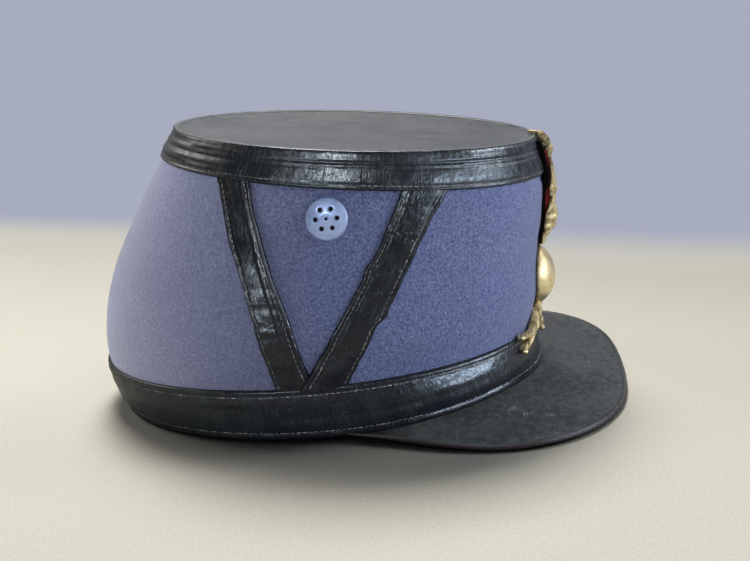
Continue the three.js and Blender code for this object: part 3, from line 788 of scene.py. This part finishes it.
# V straps: two leather strips on each side that stiffen the wall, sewn down along both edges.
# Their ends go under the two bands, and the rear strip has a fold of spare leather along its front edge.
SIDES = (("right", -1), ("left", 1))
STRAP_THICKNESS = 1.3
STRAP_GAP = 0.15
STRAP_INNER_GAP = 0.02
STRAP_RAGGED = 0.25
STRAP_FOLD = 0.55
STRAP_SEAM = 0.75
STRAPS = [
    # name, top place along x, bottom place along x, width, seed
    ("rear_strap", -14.6, 2.0, 12.4, 70),
    ("front_strap", 63.0, 18.8, 12.6, 80),
]
STRAP_BLACK = (0.004, 0.004, 0.0046)
STRAP_BROWN = (0.008, 0.0078, 0.0074)


def angle_at(x, row, sign):
    """Angle at which the wall has an x, on the left for +1 or the right for -1."""
    size = smooth_curve(FELT_ROWS, row)
    return sign * np.arccos((x - (size[..., 2] + size[..., 3]) / 2) / ((size[..., 2] - size[..., 3]) / 2))


def front_strap_edges(up):
    """Stray of the front strap's rear and front edges at a share of its height: its foot widens rearward in
    a straight line, its top widens a little, and each edge has one small tag."""
    rear_edge = -5 * np.clip(1 - up / 0.62, 0, 1) - 0.8 * rise(up, 0.86, 1) - 1.5 * hump(up, 0.62, 0.035)
    front_edge = 1.8 * rise(up, 0.3, 0.42) + 1.2 * rise(up, 0.85, 0.95) + 1.4 * hump(up, 0.37, 0.025)
    return rear_edge, front_edge


def rear_strap_edges(up):
    """Stray of the rear strap's edges: the rear one steps back near the top, the front forward below."""
    return -1.4 * rise(up, 0.55, 0.75), 0.9 + 2.4 * rise(up, 0.68, 0.3) - 0.8 * hump(up, 0.88, 0.1)


def strap_relief(name, up, across, seed):
    """Extra height of a strap: a fold along the front of the rear strap, a sunk line along the rear of
    the front strap, and the front strap's foot lapped over the rear one's."""
    if name == "rear_strap":
        fold_edge = 0.28 + 0.12 * wander(up * 5, 0 * up, seed + 3)
        fold_place = rise(up, 0.22, 0.4) * rise(up, 0.97, 0.72)
        return STRAP_FOLD * fold_place * rise(across, fold_edge, fold_edge + 0.09)
    line = hump(across, -0.62 + 0.08 * wander(up * 6, 0 * up, seed + 4), 0.05)
    return STRAP_THICKNESS * rise(up, 0.2, 0.08) * rise(across, 0.5, -0.3) - 0.3 * line


strap_leather = leather("cracked_strap_leather", STRAP_BLACK, STRAP_BROWN, 0.16, 0.2)
strap_rows = np.linspace(0.96, 5.06, 150)
strap_edge = np.linspace(0.85, 1, 5)
strap_across = np.concatenate([-strap_edge[:0:-1], np.linspace(-0.85, 0.85, 27), strap_edge[1:]])
row_grid, across_grid = grid(strap_rows, strap_across)
up = (row_grid - BASE_BAND_ROW) / (TOP_BAND_ROW - BASE_BAND_ROW)
sewn = (strap_rows > BASE_BAND_ROW) & (strap_rows < TOP_BAND_ROW)
strap_seams = []
for side, sign in SIDES:
    for name, top_x, bottom_x, width, seed in STRAPS:
        seed = seed + 5 * (sign > 0)
        tall = felt_point(angle_at(top_x, TOP_BAND_ROW, sign), TOP_BAND_ROW)[2] - BASE_BAND_HEIGHT
        lean = np.arctan2(top_x - bottom_x, tall)
        rear_edge, front_edge = front_strap_edges(up) if name == "front_strap" else rear_strap_edges(up)
        stray = np.where(across_grid < 0, rear_edge, front_edge) * np.abs(across_grid)
        half = width / np.cos(lean) / 2 + STRAP_RAGGED * wander(up * 22, 3 * np.sign(across_grid), seed + 1)
        angles = angle_at(bottom_x + (top_x - bottom_x) * up + across_grid * half + stray, row_grid, sign)
        inset = (1 - np.abs(across_grid)) * width / 2
        length_mm = up * tall / np.cos(lean)
        width_mm = across_grid * width / 2
        thickness = STRAP_THICKNESS * rounded(inset, 0.8) - 0.25 * hump(inset, 1.6, 0.5)
        thickness += creases(width_mm * 1.6 + 40, length_mm, seed + 2) * rise(inset, 0.6, 2)
        thickness += strap_relief(name, up, across_grid, seed)
        outer = on_felt(angles, row_grid, STRAP_GAP + thickness)
        inner = on_felt(angles, row_grid, STRAP_INNER_GAP + 0 * up)
        uv = np.stack([width_mm, length_mm], -1) / 1000
        piece = shell(f"{side}_{name}_strip", outer, inner, False, uv)
        dress(piece, strap_leather, "strap_leather", f"{side}_{name}")
        normals = felt_normal(angles, row_grid)
        for column in (nearest(strap_across, -STRAP_SEAM), nearest(strap_across, STRAP_SEAM)):
            strap_seams.append(stitches(outer[sewn, column], normals[sewn, column], seed + column))
thread_piece("strap_thread", strap_seams)


# Vents: a domed disc of pale blue-grey metal on each side, with a ring of six holes round a small eyelet.
# Each is pressed from sheet and clenched through the felt, so it lies tight on the wall.
VENT_X = 24.2
VENT_ROW = 4.45
VENT_RADIUS = 8.8
VENT_RISE = 2.2
VENT_SHEET = 0.9
VENT_HOLES = 6
VENT_HOLE_RADIUS = 0.95
VENT_HOLE_CIRCLE = 4.4
VENT_HOLE_DEPTH = 1.9
VENT_EYELET = 0.6
VENT_SHADES = [(0.3, (0.25, 0.31, 0.52)), (0.7, (0.35, 0.42, 0.65))]
VENT_HOLE_SHADE = (0.004, 0.004, 0.005)

vent_metal = material("pale_vent_metal")
hole = mark(vent_metal, "hole")
tarnish = noise(vent_metal, coordinates(vent_metal), 260, 4, 0.6)
# The floors of the holes and of the eyelet are painted near black: painted shade inside the holes.
vent_colour = mix(vent_metal, hole, ramp(vent_metal, tarnish, VENT_SHADES), VENT_HOLE_SHADE)
vent_rough = plus(vent_metal, ramp(vent_metal, tarnish, [(0.3, 0.32), (0.7, 0.45)]), hole, 0.5)
vent_metallic = maths(vent_metal, "SUBTRACT", 0.3, times(vent_metal, hole, 0.3))
vent_bump = bump(vent_metal, tarnish, 0.06, 0.0005)
shade(vent_metal, Base_Color=vent_colour, Roughness=vent_rough, Metallic=vent_metallic, Normal=vent_bump)

rings = np.concatenate([np.linspace(1, 0.9, 7)[:-1], np.linspace(0.9, 0, 75)])
polar_grid, ring_grid = grid(full_turn(240), rings)
to_middle = VENT_RADIUS * ring_grid
x, y = to_middle * np.cos(polar_grid), to_middle * np.sin(polar_grid)
sector = 2 * np.pi / VENT_HOLES
hole_at = np.round(polar_grid / sector) * sector
to_hole = np.hypot(x - VENT_HOLE_CIRCLE * np.cos(hole_at), y - VENT_HOLE_CIRCLE * np.sin(hole_at))
in_hole = rise(to_hole, VENT_HOLE_RADIUS + 0.1, VENT_HOLE_RADIUS - 0.15)
in_eyelet = rise(to_middle, VENT_EYELET + 0.1, VENT_EYELET - 0.15)
inside = np.maximum(in_hole, in_eyelet)
dome = VENT_RISE * (1 - ring_grid**2)
upper = dome + VENT_SHEET * rounded(VENT_RADIUS - to_middle, 0.8) - VENT_HOLE_DEPTH * inside
upper += 0.22 * hump(to_middle, VENT_EYELET + 0.75, 0.4) - 0.1 * hump(to_hole, VENT_HOLE_RADIUS + 0.2, 0.3)
lower = np.minimum(dome * 0.5, upper - 0.15) - 0.1
for side, sign in SIDES:
    angle = angle_at(VENT_X, VENT_ROW, sign)
    axis = felt_normal(angle, VENT_ROW)
    level = unit(np.cross([0, 0, 1.0], axis))
    base = on_felt(angle, VENT_ROW, BAND_GAP) + x[..., None] * level + y[..., None] * np.cross(axis, level)
    top, under = base + upper[..., None] * axis, base + lower[..., None] * axis
    piece = shell(f"{side}_vent_disc", top, under, True, None, {"hole": inside})
    dress(piece, vent_metal, "vent_metal", f"{side}_vent")


# Badge backing and underlay: a tongue of black leather behind the flames, faced with red cloth.
# They are sewn flat to the felt below and stand clear of the top band above.
BACKING_BOTTOM, BACKING_TOP = 60.0, 105.0
BACKING_NARROW, BACKING_WIDE = 7.5, 11.0
BACKING_LIFT = 2.2
BACKING_SHEET = 1.0
BACKING_RIM = 0.9
BAND_EDGE = 91.6
CLOTH_TRIM = 1.1
CLOTH_STAND = 1.3
CLOTH_SHEET = 0.5
CLOTH_PAD = 3.0
PAD_HEIGHT = 81
PAD_SPREAD = 4.5
BACKING_BLACK = (0.005, 0.005, 0.006)
BACKING_WORN = (0.008, 0.008, 0.008)
CLOTH_SHADES = [(0.3, (0.2, 0.012, 0.018)), (0.7, (0.42, 0.04, 0.045))]


def front_point(y, z, distance):
    """Point on the hat's front at a sideways place and a centre line height, moved out by a distance."""
    fine = np.linspace(0, TOP_ROW, 1201)
    row = np.interp(z, felt_point(0.0, fine)[:, 2], fine)
    half = smooth_curve(FELT_ROWS, row)[..., 4]
    return on_felt(np.arcsin(y / half), row, distance)


def backing_seat(z):
    """Distance of the backing from the felt: flat on it below, clear of the top band above."""
    return BAND_GAP + (BACKING_LIFT - BAND_GAP) * rise(z, BAND_EDGE - 9, BAND_EDGE)


def badge_layer(name, bottom, top, trim, stand, thickness, pad, rim):
    """Sheet that widens upward by a quarter sine and stands off the felt more above the band's edge.
    It swells by a pad that is highest at two heights, between the flames, and falls to nothing at the
    sides as 1 - s8. A rim is a turned edge along both sides, and a sheet with no stand fills the space
    down to the felt."""
    z, s = grid(np.linspace(bottom, top, 60), np.linspace(-1, 1, 61))
    spread = np.sin((z - BACKING_BOTTOM) / (BACKING_TOP - BACKING_BOTTOM) * np.pi / 2)
    half = BACKING_NARROW + (BACKING_WIDE - BACKING_NARROW) * spread - trim * (1 + 3.4 * rise(z, 84, 89))
    seat = backing_seat(z)
    inset = np.minimum((1 - np.abs(s)) * half, np.minimum(z - bottom, top - z))
    swell = pad * (hump(z, PAD_HEIGHT, PAD_SPREAD) + 0.35 * hump(z, 98, 4)) * (1 - s**8)
    swell += rim * rise(np.abs(s), 0.83, 0.9)
    outer = front_point(s * half, z, seat + stand + thickness * rounded(inset, 0.6) + swell)
    under = seat + stand if stand else BAND_GAP + (seat - BAND_GAP) * rise(z, BAND_EDGE - 2, BAND_EDGE)
    return shell(name, outer, front_point(s * half, z, under), False, np.stack([s * half, z], -1) / 1000)


back_leather = leather("dull_backing_leather", BACKING_BLACK, BACKING_WORN, 0.6, 0.16)
shade(back_leather, Specular_IOR_Level=0.06)
back_sizes = (BACKING_BOTTOM, BACKING_TOP + 2.5, 0, 0, BACKING_SHEET, 0, BACKING_RIM)
back_piece = badge_layer("badge_back_leather", *back_sizes)
dress(back_piece, back_leather, "band_leather", "badge_backing")

red_cloth = material("red_wool_cloth")
weave = noise(red_cloth, coordinates(red_cloth), 1800, 3, 0.6)
weave_bump = bump(red_cloth, weave, 0.5, 0.0004)
shade(red_cloth, Base_Color=ramp(red_cloth, weave, CLOTH_SHADES), Roughness=0.95, Normal=weave_bump)
cloth_sizes = (BACKING_BOTTOM + 5, BACKING_TOP - 3, CLOTH_TRIM, CLOTH_STAND, CLOTH_SHEET, CLOTH_PAD, 0)
cloth_piece = badge_layer("badge_red_cloth", *cloth_sizes)
dress(cloth_piece, red_cloth, "red_cloth", "badge_underlay")


# Flame spray: seven pointed tongues of stamped and gilt brass that fan from one root.
# They bulge over the red cloth, and the middle one curls back over the edge of the crown.
FLAME_LINE = np.array([
    # forward, height
    [111.2, 58.6],
    [112.4, 61.5],
    [114.1, 64.5],
    [116.7, 68.3],
    [118.1, 73],
    [117.8, 80],
    [118.6, 86],
    [117.9, 92.4],
    [116.9, 98.7],
    [117.8, 103.2],
    [117.3, 107.4],
    [115.4, 109.2],
    [113.0, 110.5],
    [110.4, 111.2],
    [107.9, 111.5],
])
FLAMES = np.array([
    # tip sideways, share of the line at the root and at the tip, width
    [0, 0, 1, 9.4],
    [4.6, 0.02, 0.8, 7],
    [-4.6, 0.02, 0.8, 7],
    [7.4, 0.04, 0.62, 6],
    [-7.4, 0.04, 0.62, 6],
    [9.6, 0.06, 0.34, 6.4],
    [-9.6, 0.06, 0.34, 6.4],
])
FLAME_RIDGE = 0.7
FLAME_FOLD = 0.5
FLAME_LUMP = 0.4
FLAME_THICKNESS = 1.0
FLAME_STUFFING = 5.2
GILT_SHADES = [(0.3, (0.66, 0.54, 0.28)), (0.7, (0.88, 0.77, 0.5))]
GILT_TARNISH_AND_SHADE = (0.085, 0.045, 0.026)

gilt = material("worn_gilt_brass")
here = coordinates(gilt)
tarnish_and_shade = mark(gilt, "tarnish_and_shade")
spots = noise(gilt, here, 320, 4, 0.65)
grime = ramp(gilt, noise(gilt, here, 620, 3, 0.6), [(0.36, 0.35), (0.6, 1.0)])
# The mark darkens the gilt: tarnish under the grime noise, and painted shade in folds, between tongues,
# over the upper flames and at the dome's rim.
tarnish = maths(gilt, "MULTIPLY", tarnish_and_shade, grime, True)
gilt_colour = mix(gilt, tarnish, ramp(gilt, spots, GILT_SHADES), GILT_TARNISH_AND_SHADE)
gilt_rough = plus(gilt, ramp(gilt, spots, [(0.3, 0.37), (0.7, 0.5)]), tarnish_and_shade, 0.3)
gilt_bump = bump(gilt, spots, 0.1, 0.0004)
shade(gilt, Base_Color=gilt_colour, Metallic=1.0, Roughness=gilt_rough, Normal=gilt_bump)


def zigzag(turns):
    """Straight-sided wave from -1 to 1: the arc sine of a sine."""
    return np.arcsin(np.sin(2 * np.pi * turns)) * 2 / np.pi


def flame_tongue(tip_y, root, reach, width, turn_by):
    """Tongue: a strip that follows the flame line, sways once, and narrows to a point as 1 - t5.
    Its ridge wanders from side to side and its folds are straight-sided waves; its edges and its back
    lie close to the cloth."""
    t, s = grid(np.linspace(0, 1, 120), np.linspace(-1, 1, 25))
    fine = smooth_curve(FLAME_LINE, np.linspace(0, len(FLAME_LINE) - 1, 700))
    run = run_along(fine)
    place = (root + (reach - root) * t) * run[-1]
    x, z = np.moveaxis(along_path(place, run, fine), -1, 0)
    ahead_x, ahead_z = np.moveaxis(unit(along_path(place, run, np.gradient(fine, run, axis=0))), -1, 0)
    sway = np.sin(2 * np.pi * (2.4 * t * reach + turn_by))
    wavy = 1 + 0.17 * sway + 0.2 * zigzag(8 * t * reach + 0.6 * turn_by)
    half = width / 2 * np.minimum(0.55 + t, 1) * (1 - t**5) * wavy + 0.3
    middle = tip_y * np.sin(t * np.pi / 2) + np.sign(tip_y) * np.sin(2 * np.pi * t)
    y = middle + s * half * (1 + 0.12 * wander(z / 1.9 + 60, 0 * z + 7 * turn_by, 96))
    crest = 0.4 * np.sin(2 * np.pi * (2.1 * t * reach + turn_by))
    tent = np.where(s < crest, (s + 1) / (crest + 1), (1 - s) / (1 - crest))
    fold = zigzag(6 * t * reach + 0.3 * s + turn_by)
    lumps = wander(z / 1.7 + 30, y / 1.5 + 30 + 9 * turn_by, 95)
    depth = FLAME_RIDGE * tent * (1 - 0.5 * t) + FLAME_FOLD * fold * tent
    depth += FLAME_LUMP * lumps * rise(1 - np.abs(s), 0, 0.2)
    bed = backing_seat(z) + 1.15 + 1.45 * rise(z, BACKING_BOTTOM + 2, BACKING_BOTTOM + 7)
    cloth = front_point(0 * y, np.minimum(z, BACKING_TOP), bed)[..., 0]
    stand_off = (x - FLAME_THICKNESS - cloth) * (1 - rise(z, BACKING_TOP - 4, BACKING_TOP))
    stand_off = stand_off * (1 - 0.8 * hump(z, PAD_HEIGHT, PAD_SPREAD))
    stuffing = FLAME_STUFFING * (1 - rise(t, 0.86, 1)) * rise(z, BACKING_TOP - 6, BACKING_TOP)
    stuffing = stuffing * np.sqrt(1 - s**2)
    faces = []
    for out, sink in ((depth, (1 - tent) ** 1.5), (-FLAME_THICKNESS - stuffing, 1)):
        px, pz = x + out * ahead_z, z - out * ahead_x
        level = np.minimum(pz, FELT_ROWS[-1, 0])
        bend = front_point(y, level, 0 * y)[..., 0] - front_point(0 * y, level, 0 * y)[..., 0]
        faces.append(np.stack([px + bend - sink * stand_off, y, pz], -1))
    # Painted shade along the tongue edges, fold valleys and low lumps, and over the upper flames and curl,
    # kept lighter near 90 mm high as a painted highlight.
    dark = np.maximum(rise(np.abs(s), 0.88, 1.0) * 0.5, rise(fold, -0.4, -1.0) * 0.7)
    dark = np.maximum(dark, rise(lumps, 0.0, -0.5) * 0.85)
    in_shade = rise(z, 92, 97) - 0.35 * rise(t, 0.9, 1)
    dark = np.maximum(dark * (1 - 0.6 * hump(z, 90, 3.5)), 0.2 + 0.62 * in_shade)
    return faces[0], faces[1], np.stack([dark, np.ones_like(dark)])


def joined(name, pieces):
    """One object from several made ones."""
    chosen = {"active_object": pieces[0], "selected_editable_objects": pieces, "selected_objects": pieces}
    with bpy.context.temp_override(**chosen):
        bpy.ops.object.join()
    pieces[0].name = name
    return pieces[0]


tongues = []
for number, (tip_y, root, reach, width) in enumerate(FLAMES):
    outer, inner, dark = flame_tongue(tip_y, root, reach, width, 0.37 * number)
    tongues.append(shell(f"tongue_{number}", outer, inner, False, None, {"tarnish_and_shade": dark}))
dress(joined("flame_spray", tongues), gilt, "gilt", "badge_spray")


# Boss: a plain domed shell with a forked foot below it, cast and soldered as one piece of gilt brass.
# The foot is worked like a leafy branch: a middle prong and two legs, each ending in small balls.
DOME_Z = 44.2
DOME_RADIUS = 13.6
DOME_RISE = 7.0
DOME_ROUND = 0.7
DOME_SEAT = 0.5
DOME_EDGE = 0.5
FOOT_OVER_FELT = 1.2
FOOT_OVER_BAND = 2.4
FOOT_THICKNESS = 2.0
FOOT_SINK = 0.85
FOOT_BALL = 1.3
FOOT_TAPER = 0.35
FOOT_BOW = 1.25
FOOT_LEAVES = 23
FOOT_PRONGS = np.array([
    # fork sideways, fork height, tip sideways, tip height, width
    [0, 36, 0, 17.2, 5.6],
    [0, 31.5, 30.5, 17, 4.8],
    [21, 22.6, 31.5, 24.4, 3.2],
    [0, 31.5, -30.5, 17, 4.8],
    [-21, 22.6, -31.5, 24.4, 3.2],
])


def foot_seat(z):
    """Distance of the foot from the felt: close to it under the dome, over the base band below."""
    above_band = rise(z, BASE_BAND_HEIGHT + 0.5, BASE_BAND_HEIGHT + 7)
    return FOOT_OVER_BAND + (FOOT_OVER_FELT - FOOT_OVER_BAND) * above_band


def foot_prong(fork_y, fork_z, tip_y, tip_z, width):
    """Prong: a strip from the fork to the tip whose height falls as t to the power of the bow.
    It tapers, its sides are lobed by a sine, and its ridge falls evenly to both sides under
    slanting veins."""
    t, s = grid(np.linspace(0, 1, 50), np.linspace(-1, 1, 15))
    half = width / 2 * (1 - FOOT_TAPER * t) * (1 + 0.14 * np.sin(t * FOOT_LEAVES) * np.abs(s))
    slope = (tip_z - fork_z) * FOOT_BOW * np.maximum(t, 0.05) ** (FOOT_BOW - 1)
    length = np.hypot(tip_y - fork_y, slope)
    y = fork_y + (tip_y - fork_y) * t - s * half * slope / length
    z = fork_z + (tip_z - fork_z) * t**FOOT_BOW + s * half * (tip_y - fork_y) / length
    veins = np.cos(t * FOOT_LEAVES + np.abs(s) * 3)
    crest = 0.7 * (1 - np.abs(s)) + 0.25 * veins * (1 - s**2)
    crest -= 0.6 * (1 - rounded((1 - np.abs(s)) * half, 0.6))
    outer = front_point(y, z, foot_seat(z) + FOOT_THICKNESS + crest)
    return outer, front_point(y, z, foot_seat(z) - FOOT_SINK), 0.38 + 0.5 * rise(veins, 0.0, -0.8)


polar_grid, ring_grid = grid(full_turn(120), np.sin(np.linspace(np.pi / 2, 0, 40)))
y, z = DOME_RADIUS * ring_grid * np.cos(polar_grid), DOME_Z + DOME_RADIUS * ring_grid * np.sin(polar_grid)
dome_out = front_point(y, z, DOME_SEAT + DOME_EDGE + DOME_RISE * (1 - ring_grid**2) ** DOME_ROUND)
dome_in = front_point(y, z, DOME_SEAT + 0 * y)
# The dome's rim is darkened as painted shade where it sits on the felt.
boss = [shell("dome", dome_out, dome_in, True, None, {"tarnish_and_shade": rise(ring_grid, 0.985, 1.0)})]
polar, tall = grid(full_turn(24), np.linspace(-np.pi / 2, np.pi / 2, 15))
ball = FOOT_BALL * np.stack([np.cos(tall) * np.cos(polar), np.cos(tall) * np.sin(polar), np.sin(tall)], -1)
for number, prong in enumerate(FOOT_PRONGS):
    outer, inner, dark = foot_prong(*prong)
    boss.append(shell(f"prong_{number}", outer, inner, False, None, {"tarnish_and_shade": dark}))
    tip_y, tip_z = prong[2:4]
    centre = front_point(tip_y, tip_z, foot_seat(tip_z) + FOOT_BALL + 0.4)
    core = centre + 0.2 * ball
    boss.append(shell(f"ball_{number}", centre + ball, core, True, None, {"tarnish_and_shade": 0 * tall}))
dress(joined("badge_dome_and_foot", boss), gilt, "gilt", "badge_boss")


# Stage: a plain pale floor that turns blue-grey far behind the hat, and a camera on the hat's right side.
# The light is soft and comes mostly from above and behind. Felt, leather and metal also have lamps of
# their own, so that each finish keeps its own brightness.
CAMERA_AZIMUTH = 7.43
CAMERA_ELEVATION = 15.34
CAMERA_ROLL = np.radians(-4.83)
CAMERA_DISTANCE = 0.5249
CAMERA_TARGET = np.array([0.009, 0, 0.0491])
CAMERA_SENSOR = 36
CAMERA_FOCUS = 1101 / 750 * CAMERA_SENSOR
LAMP_TARGET = np.array([0, 0, 0.07])
BACKDROP = (0.385, 0.41, 0.515)
FLOOR_SHADES = [(0.3, (0.56, 0.545, 0.475)), (0.7, (0.64, 0.625, 0.55))]
FLOOR_FAR = (0.62, 0.6, 0.53)
UNLIT = (0.0, 0.0, 0.0)
ROOM_DIM = (0.017, 0.018, 0.02)
STAGE_EDGE = 6
STAGE_HEIGHT = 4
STAGE_TURN = np.radians(19.7)

low_corners = [(-STAGE_EDGE, -STAGE_EDGE, 0), (STAGE_EDGE, -STAGE_EDGE, 0)]
far_corners = [(STAGE_EDGE, STAGE_EDGE, 0), (-STAGE_EDGE, STAGE_EDGE, 0)]
high_corners = [(STAGE_EDGE, STAGE_EDGE, STAGE_HEIGHT), (-STAGE_EDGE, STAGE_EDGE, STAGE_HEIGHT)]
floor_mesh = bpy.data.meshes.new("floor")
floor_mesh.from_pydata(low_corners + far_corners + high_corners, [], [(0, 1, 2, 3), (3, 2, 4, 5)])
floor = bpy.data.objects.new("floor", floor_mesh)
bpy.context.scene.collection.objects.link(floor)
pale = material("pale_floor")
here = coordinates(pale)
away = axis_of(pale, coordinates(pale, "Object", (1, 1, 1), (0, 0, STAGE_TURN)), "Y")
distance = node(pale, "VectorMath", {"Vector": here}, operation="LENGTH").outputs["Value"]
behind = between(pale, away, 0.18, 0.33, 1.0, "SMOOTHSTEP")
unlit = maths(pale, "MAXIMUM", behind, between(pale, distance, 0.6, 1.7, 1.0, "SMOOTHSTEP"))
near_colour = ramp(pale, noise(pale, here, 700, 3, 0.6), FLOOR_SHADES)
# The near floor darkens towards the back, up to a third: painted shade.
near_colour = mix(pale, between(pale, away, -0.05, 0.2, 0.34), near_colour, UNLIT)
shade(pale, Base_Color=mix(pale, unlit, near_colour, UNLIT), Roughness=0.95, Specular_IOR_Level=0.0)
shade(pale, Emission_Color=mix(pale, behind, FLOOR_FAR, BACKDROP), Emission_Strength=unlit)
floor_mesh.materials.append(pale)

METAL_PIECES = ("flame_spray", "badge_dome_and_foot", "right_vent_disc", "left_vent_disc")
DULL_PIECES = ("felt_wall", "floor", "crown_disc", "badge_back_leather", "badge_red_cloth")
felted = bpy.data.collections.new("felt_pieces")
bare = bpy.data.collections.new("all_but_felt")
polished = bpy.data.collections.new("polished_leather")
metal = bpy.data.collections.new("metal_pieces")
for piece in bpy.data.objects:
    if piece.type == "MESH":
        (felted if piece.name == "felt_wall" else bare).objects.link(piece)
        if piece.name in METAL_PIECES:
            metal.objects.link(piece)
        elif piece.name not in DULL_PIECES:
            polished.objects.link(piece)
LAMPS = [
    # name, azimuth from the right to the front, elevation, distance, width, height, watts, colour, pieces
    ("key_behind_rear", -158, 61, 1.7, 0.6, 0.55, 20, (1.0, 0.985, 0.95), bare),
    ("key_behind_front", -174, 60, 1.7, 0.6, 0.55, 20, (1.0, 0.985, 0.95), bare),
    ("key_front", 115, 45, 1.7, 0.8, 0.6, 4, (1.0, 0.985, 0.95), bare),
    ("front_window", 98, 22, 1.6, 0.6, 0.22, 4, (0.9, 0.95, 1.0), bare),
    ("rear_window", -114, 30, 1.6, 0.6, 0.6, 5, (1.0, 0.95, 0.9), bare),
    ("camera_side_strip", -6, 30, 1.6, 0.42, 0.2, 24, (0.78, 0.89, 1.0), polished),
    ("camera_side_low", -22, 10, 1.6, 0.26, 0.26, 14, (0.72, 0.85, 1.0), polished),
    ("front_side_strip", 122, 18, 1.6, 0.9, 0.4, 2, (0.78, 0.89, 1.0), polished),
    ("front_strip", 86, 26, 1.6, 0.55, 0.3, 27, (0.78, 0.89, 1.0), polished),
    ("front_low", 66, 7, 1.6, 1.3, 0.24, 54, (0.62, 0.78, 1.0), polished),
    ("front_panel", 62, 26, 1.6, 0.9, 0.7, 2, (0.95, 0.97, 1.0), polished),
    ("rear_strip", -104, 36, 1.6, 0.7, 0.5, 10, (1.0, 0.97, 0.93), polished),
    ("metal_strip", -6, 30, 1.6, 0.55, 0.26, 13, (0.78, 0.89, 1.0), metal),
    ("metal_low", 70, 7, 1.6, 1.25, 0.28, 10, (0.9, 0.95, 1.0), metal),
    ("metal_panel", 62, 26, 1.6, 0.9, 0.7, 2.4, (0.95, 0.97, 1.0), metal),
    ("felt_rim", -130, 28, 1.6, 0.7, 0.7, 12, (1.0, 0.96, 0.92), felted),
    ("felt_side_fill", 0, 10, 1.6, 1.0, 0.6, 1.8, (0.95, 0.97, 1.0), felted),
    ("felt_rear_fill", -88, 28, 1.6, 0.7, 0.7, 13, (1.0, 0.97, 0.93), felted),
    ("felt_front_fill", 82, 20, 1.6, 0.7, 0.7, 12.5, (0.92, 0.96, 1.0), felted),
    ("felt_back_fill", 180, 30, 1.6, 1.2, 0.7, 4.5, (1.0, 0.985, 0.95), felted),
]


def stand(made, azimuth, elevation, distance, target, roll=0.0):
    """Stands a lamp or camera at a distance from a target and faces it there: its back points along the
    azimuth and elevation, its side lies level, and both other axes turn by the roll."""
    azimuth, elevation = np.radians(azimuth), np.radians(elevation)
    level = np.array([np.sin(azimuth), -np.cos(azimuth), 0])
    back = np.cos(elevation) * level + [0, 0, np.sin(elevation)]
    side = unit(np.cross([0, 0, 1.0], back))
    upward = np.cross(back, side)
    matrix = np.eye(4)
    matrix[:3, 0] = np.cos(roll) * side + np.sin(roll) * upward
    matrix[:3, 1] = np.cos(roll) * upward - np.sin(roll) * side
    matrix[:3, 2] = back
    matrix[:3, 3] = target + distance * back
    bpy.context.scene.collection.objects.link(made)
    made.matrix_world = Matrix(matrix)


for name, azimuth, elevation, distance, width, height, watts, colour, pieces in LAMPS:
    lamp = bpy.data.lights.new(name, "AREA")
    lamp.shape = "RECTANGLE"
    lamp.size = width
    lamp.size_y = height
    lamp.energy = watts
    lamp.color = colour
    lamp_object = bpy.data.objects.new(name, lamp)
    lamp_object.light_linking.receiver_collection = pieces
    stand(lamp_object, azimuth, elevation, distance, LAMP_TARGET)

world = bpy.data.worlds.new("studio")
world.use_nodes = True
seen = node(world, "LightPath").outputs["Is Camera Ray"]
room = world.node_tree.nodes["Background"].inputs["Color"]
put(world.node_tree, room, mix(world, seen, ROOM_DIM, BACKDROP))
bpy.context.scene.world = world
bpy.context.scene.view_settings.view_transform = "Standard"

lens = bpy.data.cameras.new("camera")
lens.lens = CAMERA_FOCUS
lens.sensor_width = CAMERA_SENSOR
lens.clip_start = 0.01
camera = bpy.data.objects.new("camera", lens)
stand(camera, CAMERA_AZIMUTH, CAMERA_ELEVATION, CAMERA_DISTANCE, CAMERA_TARGET, CAMERA_ROLL)
bpy.context.scene.camera = camera
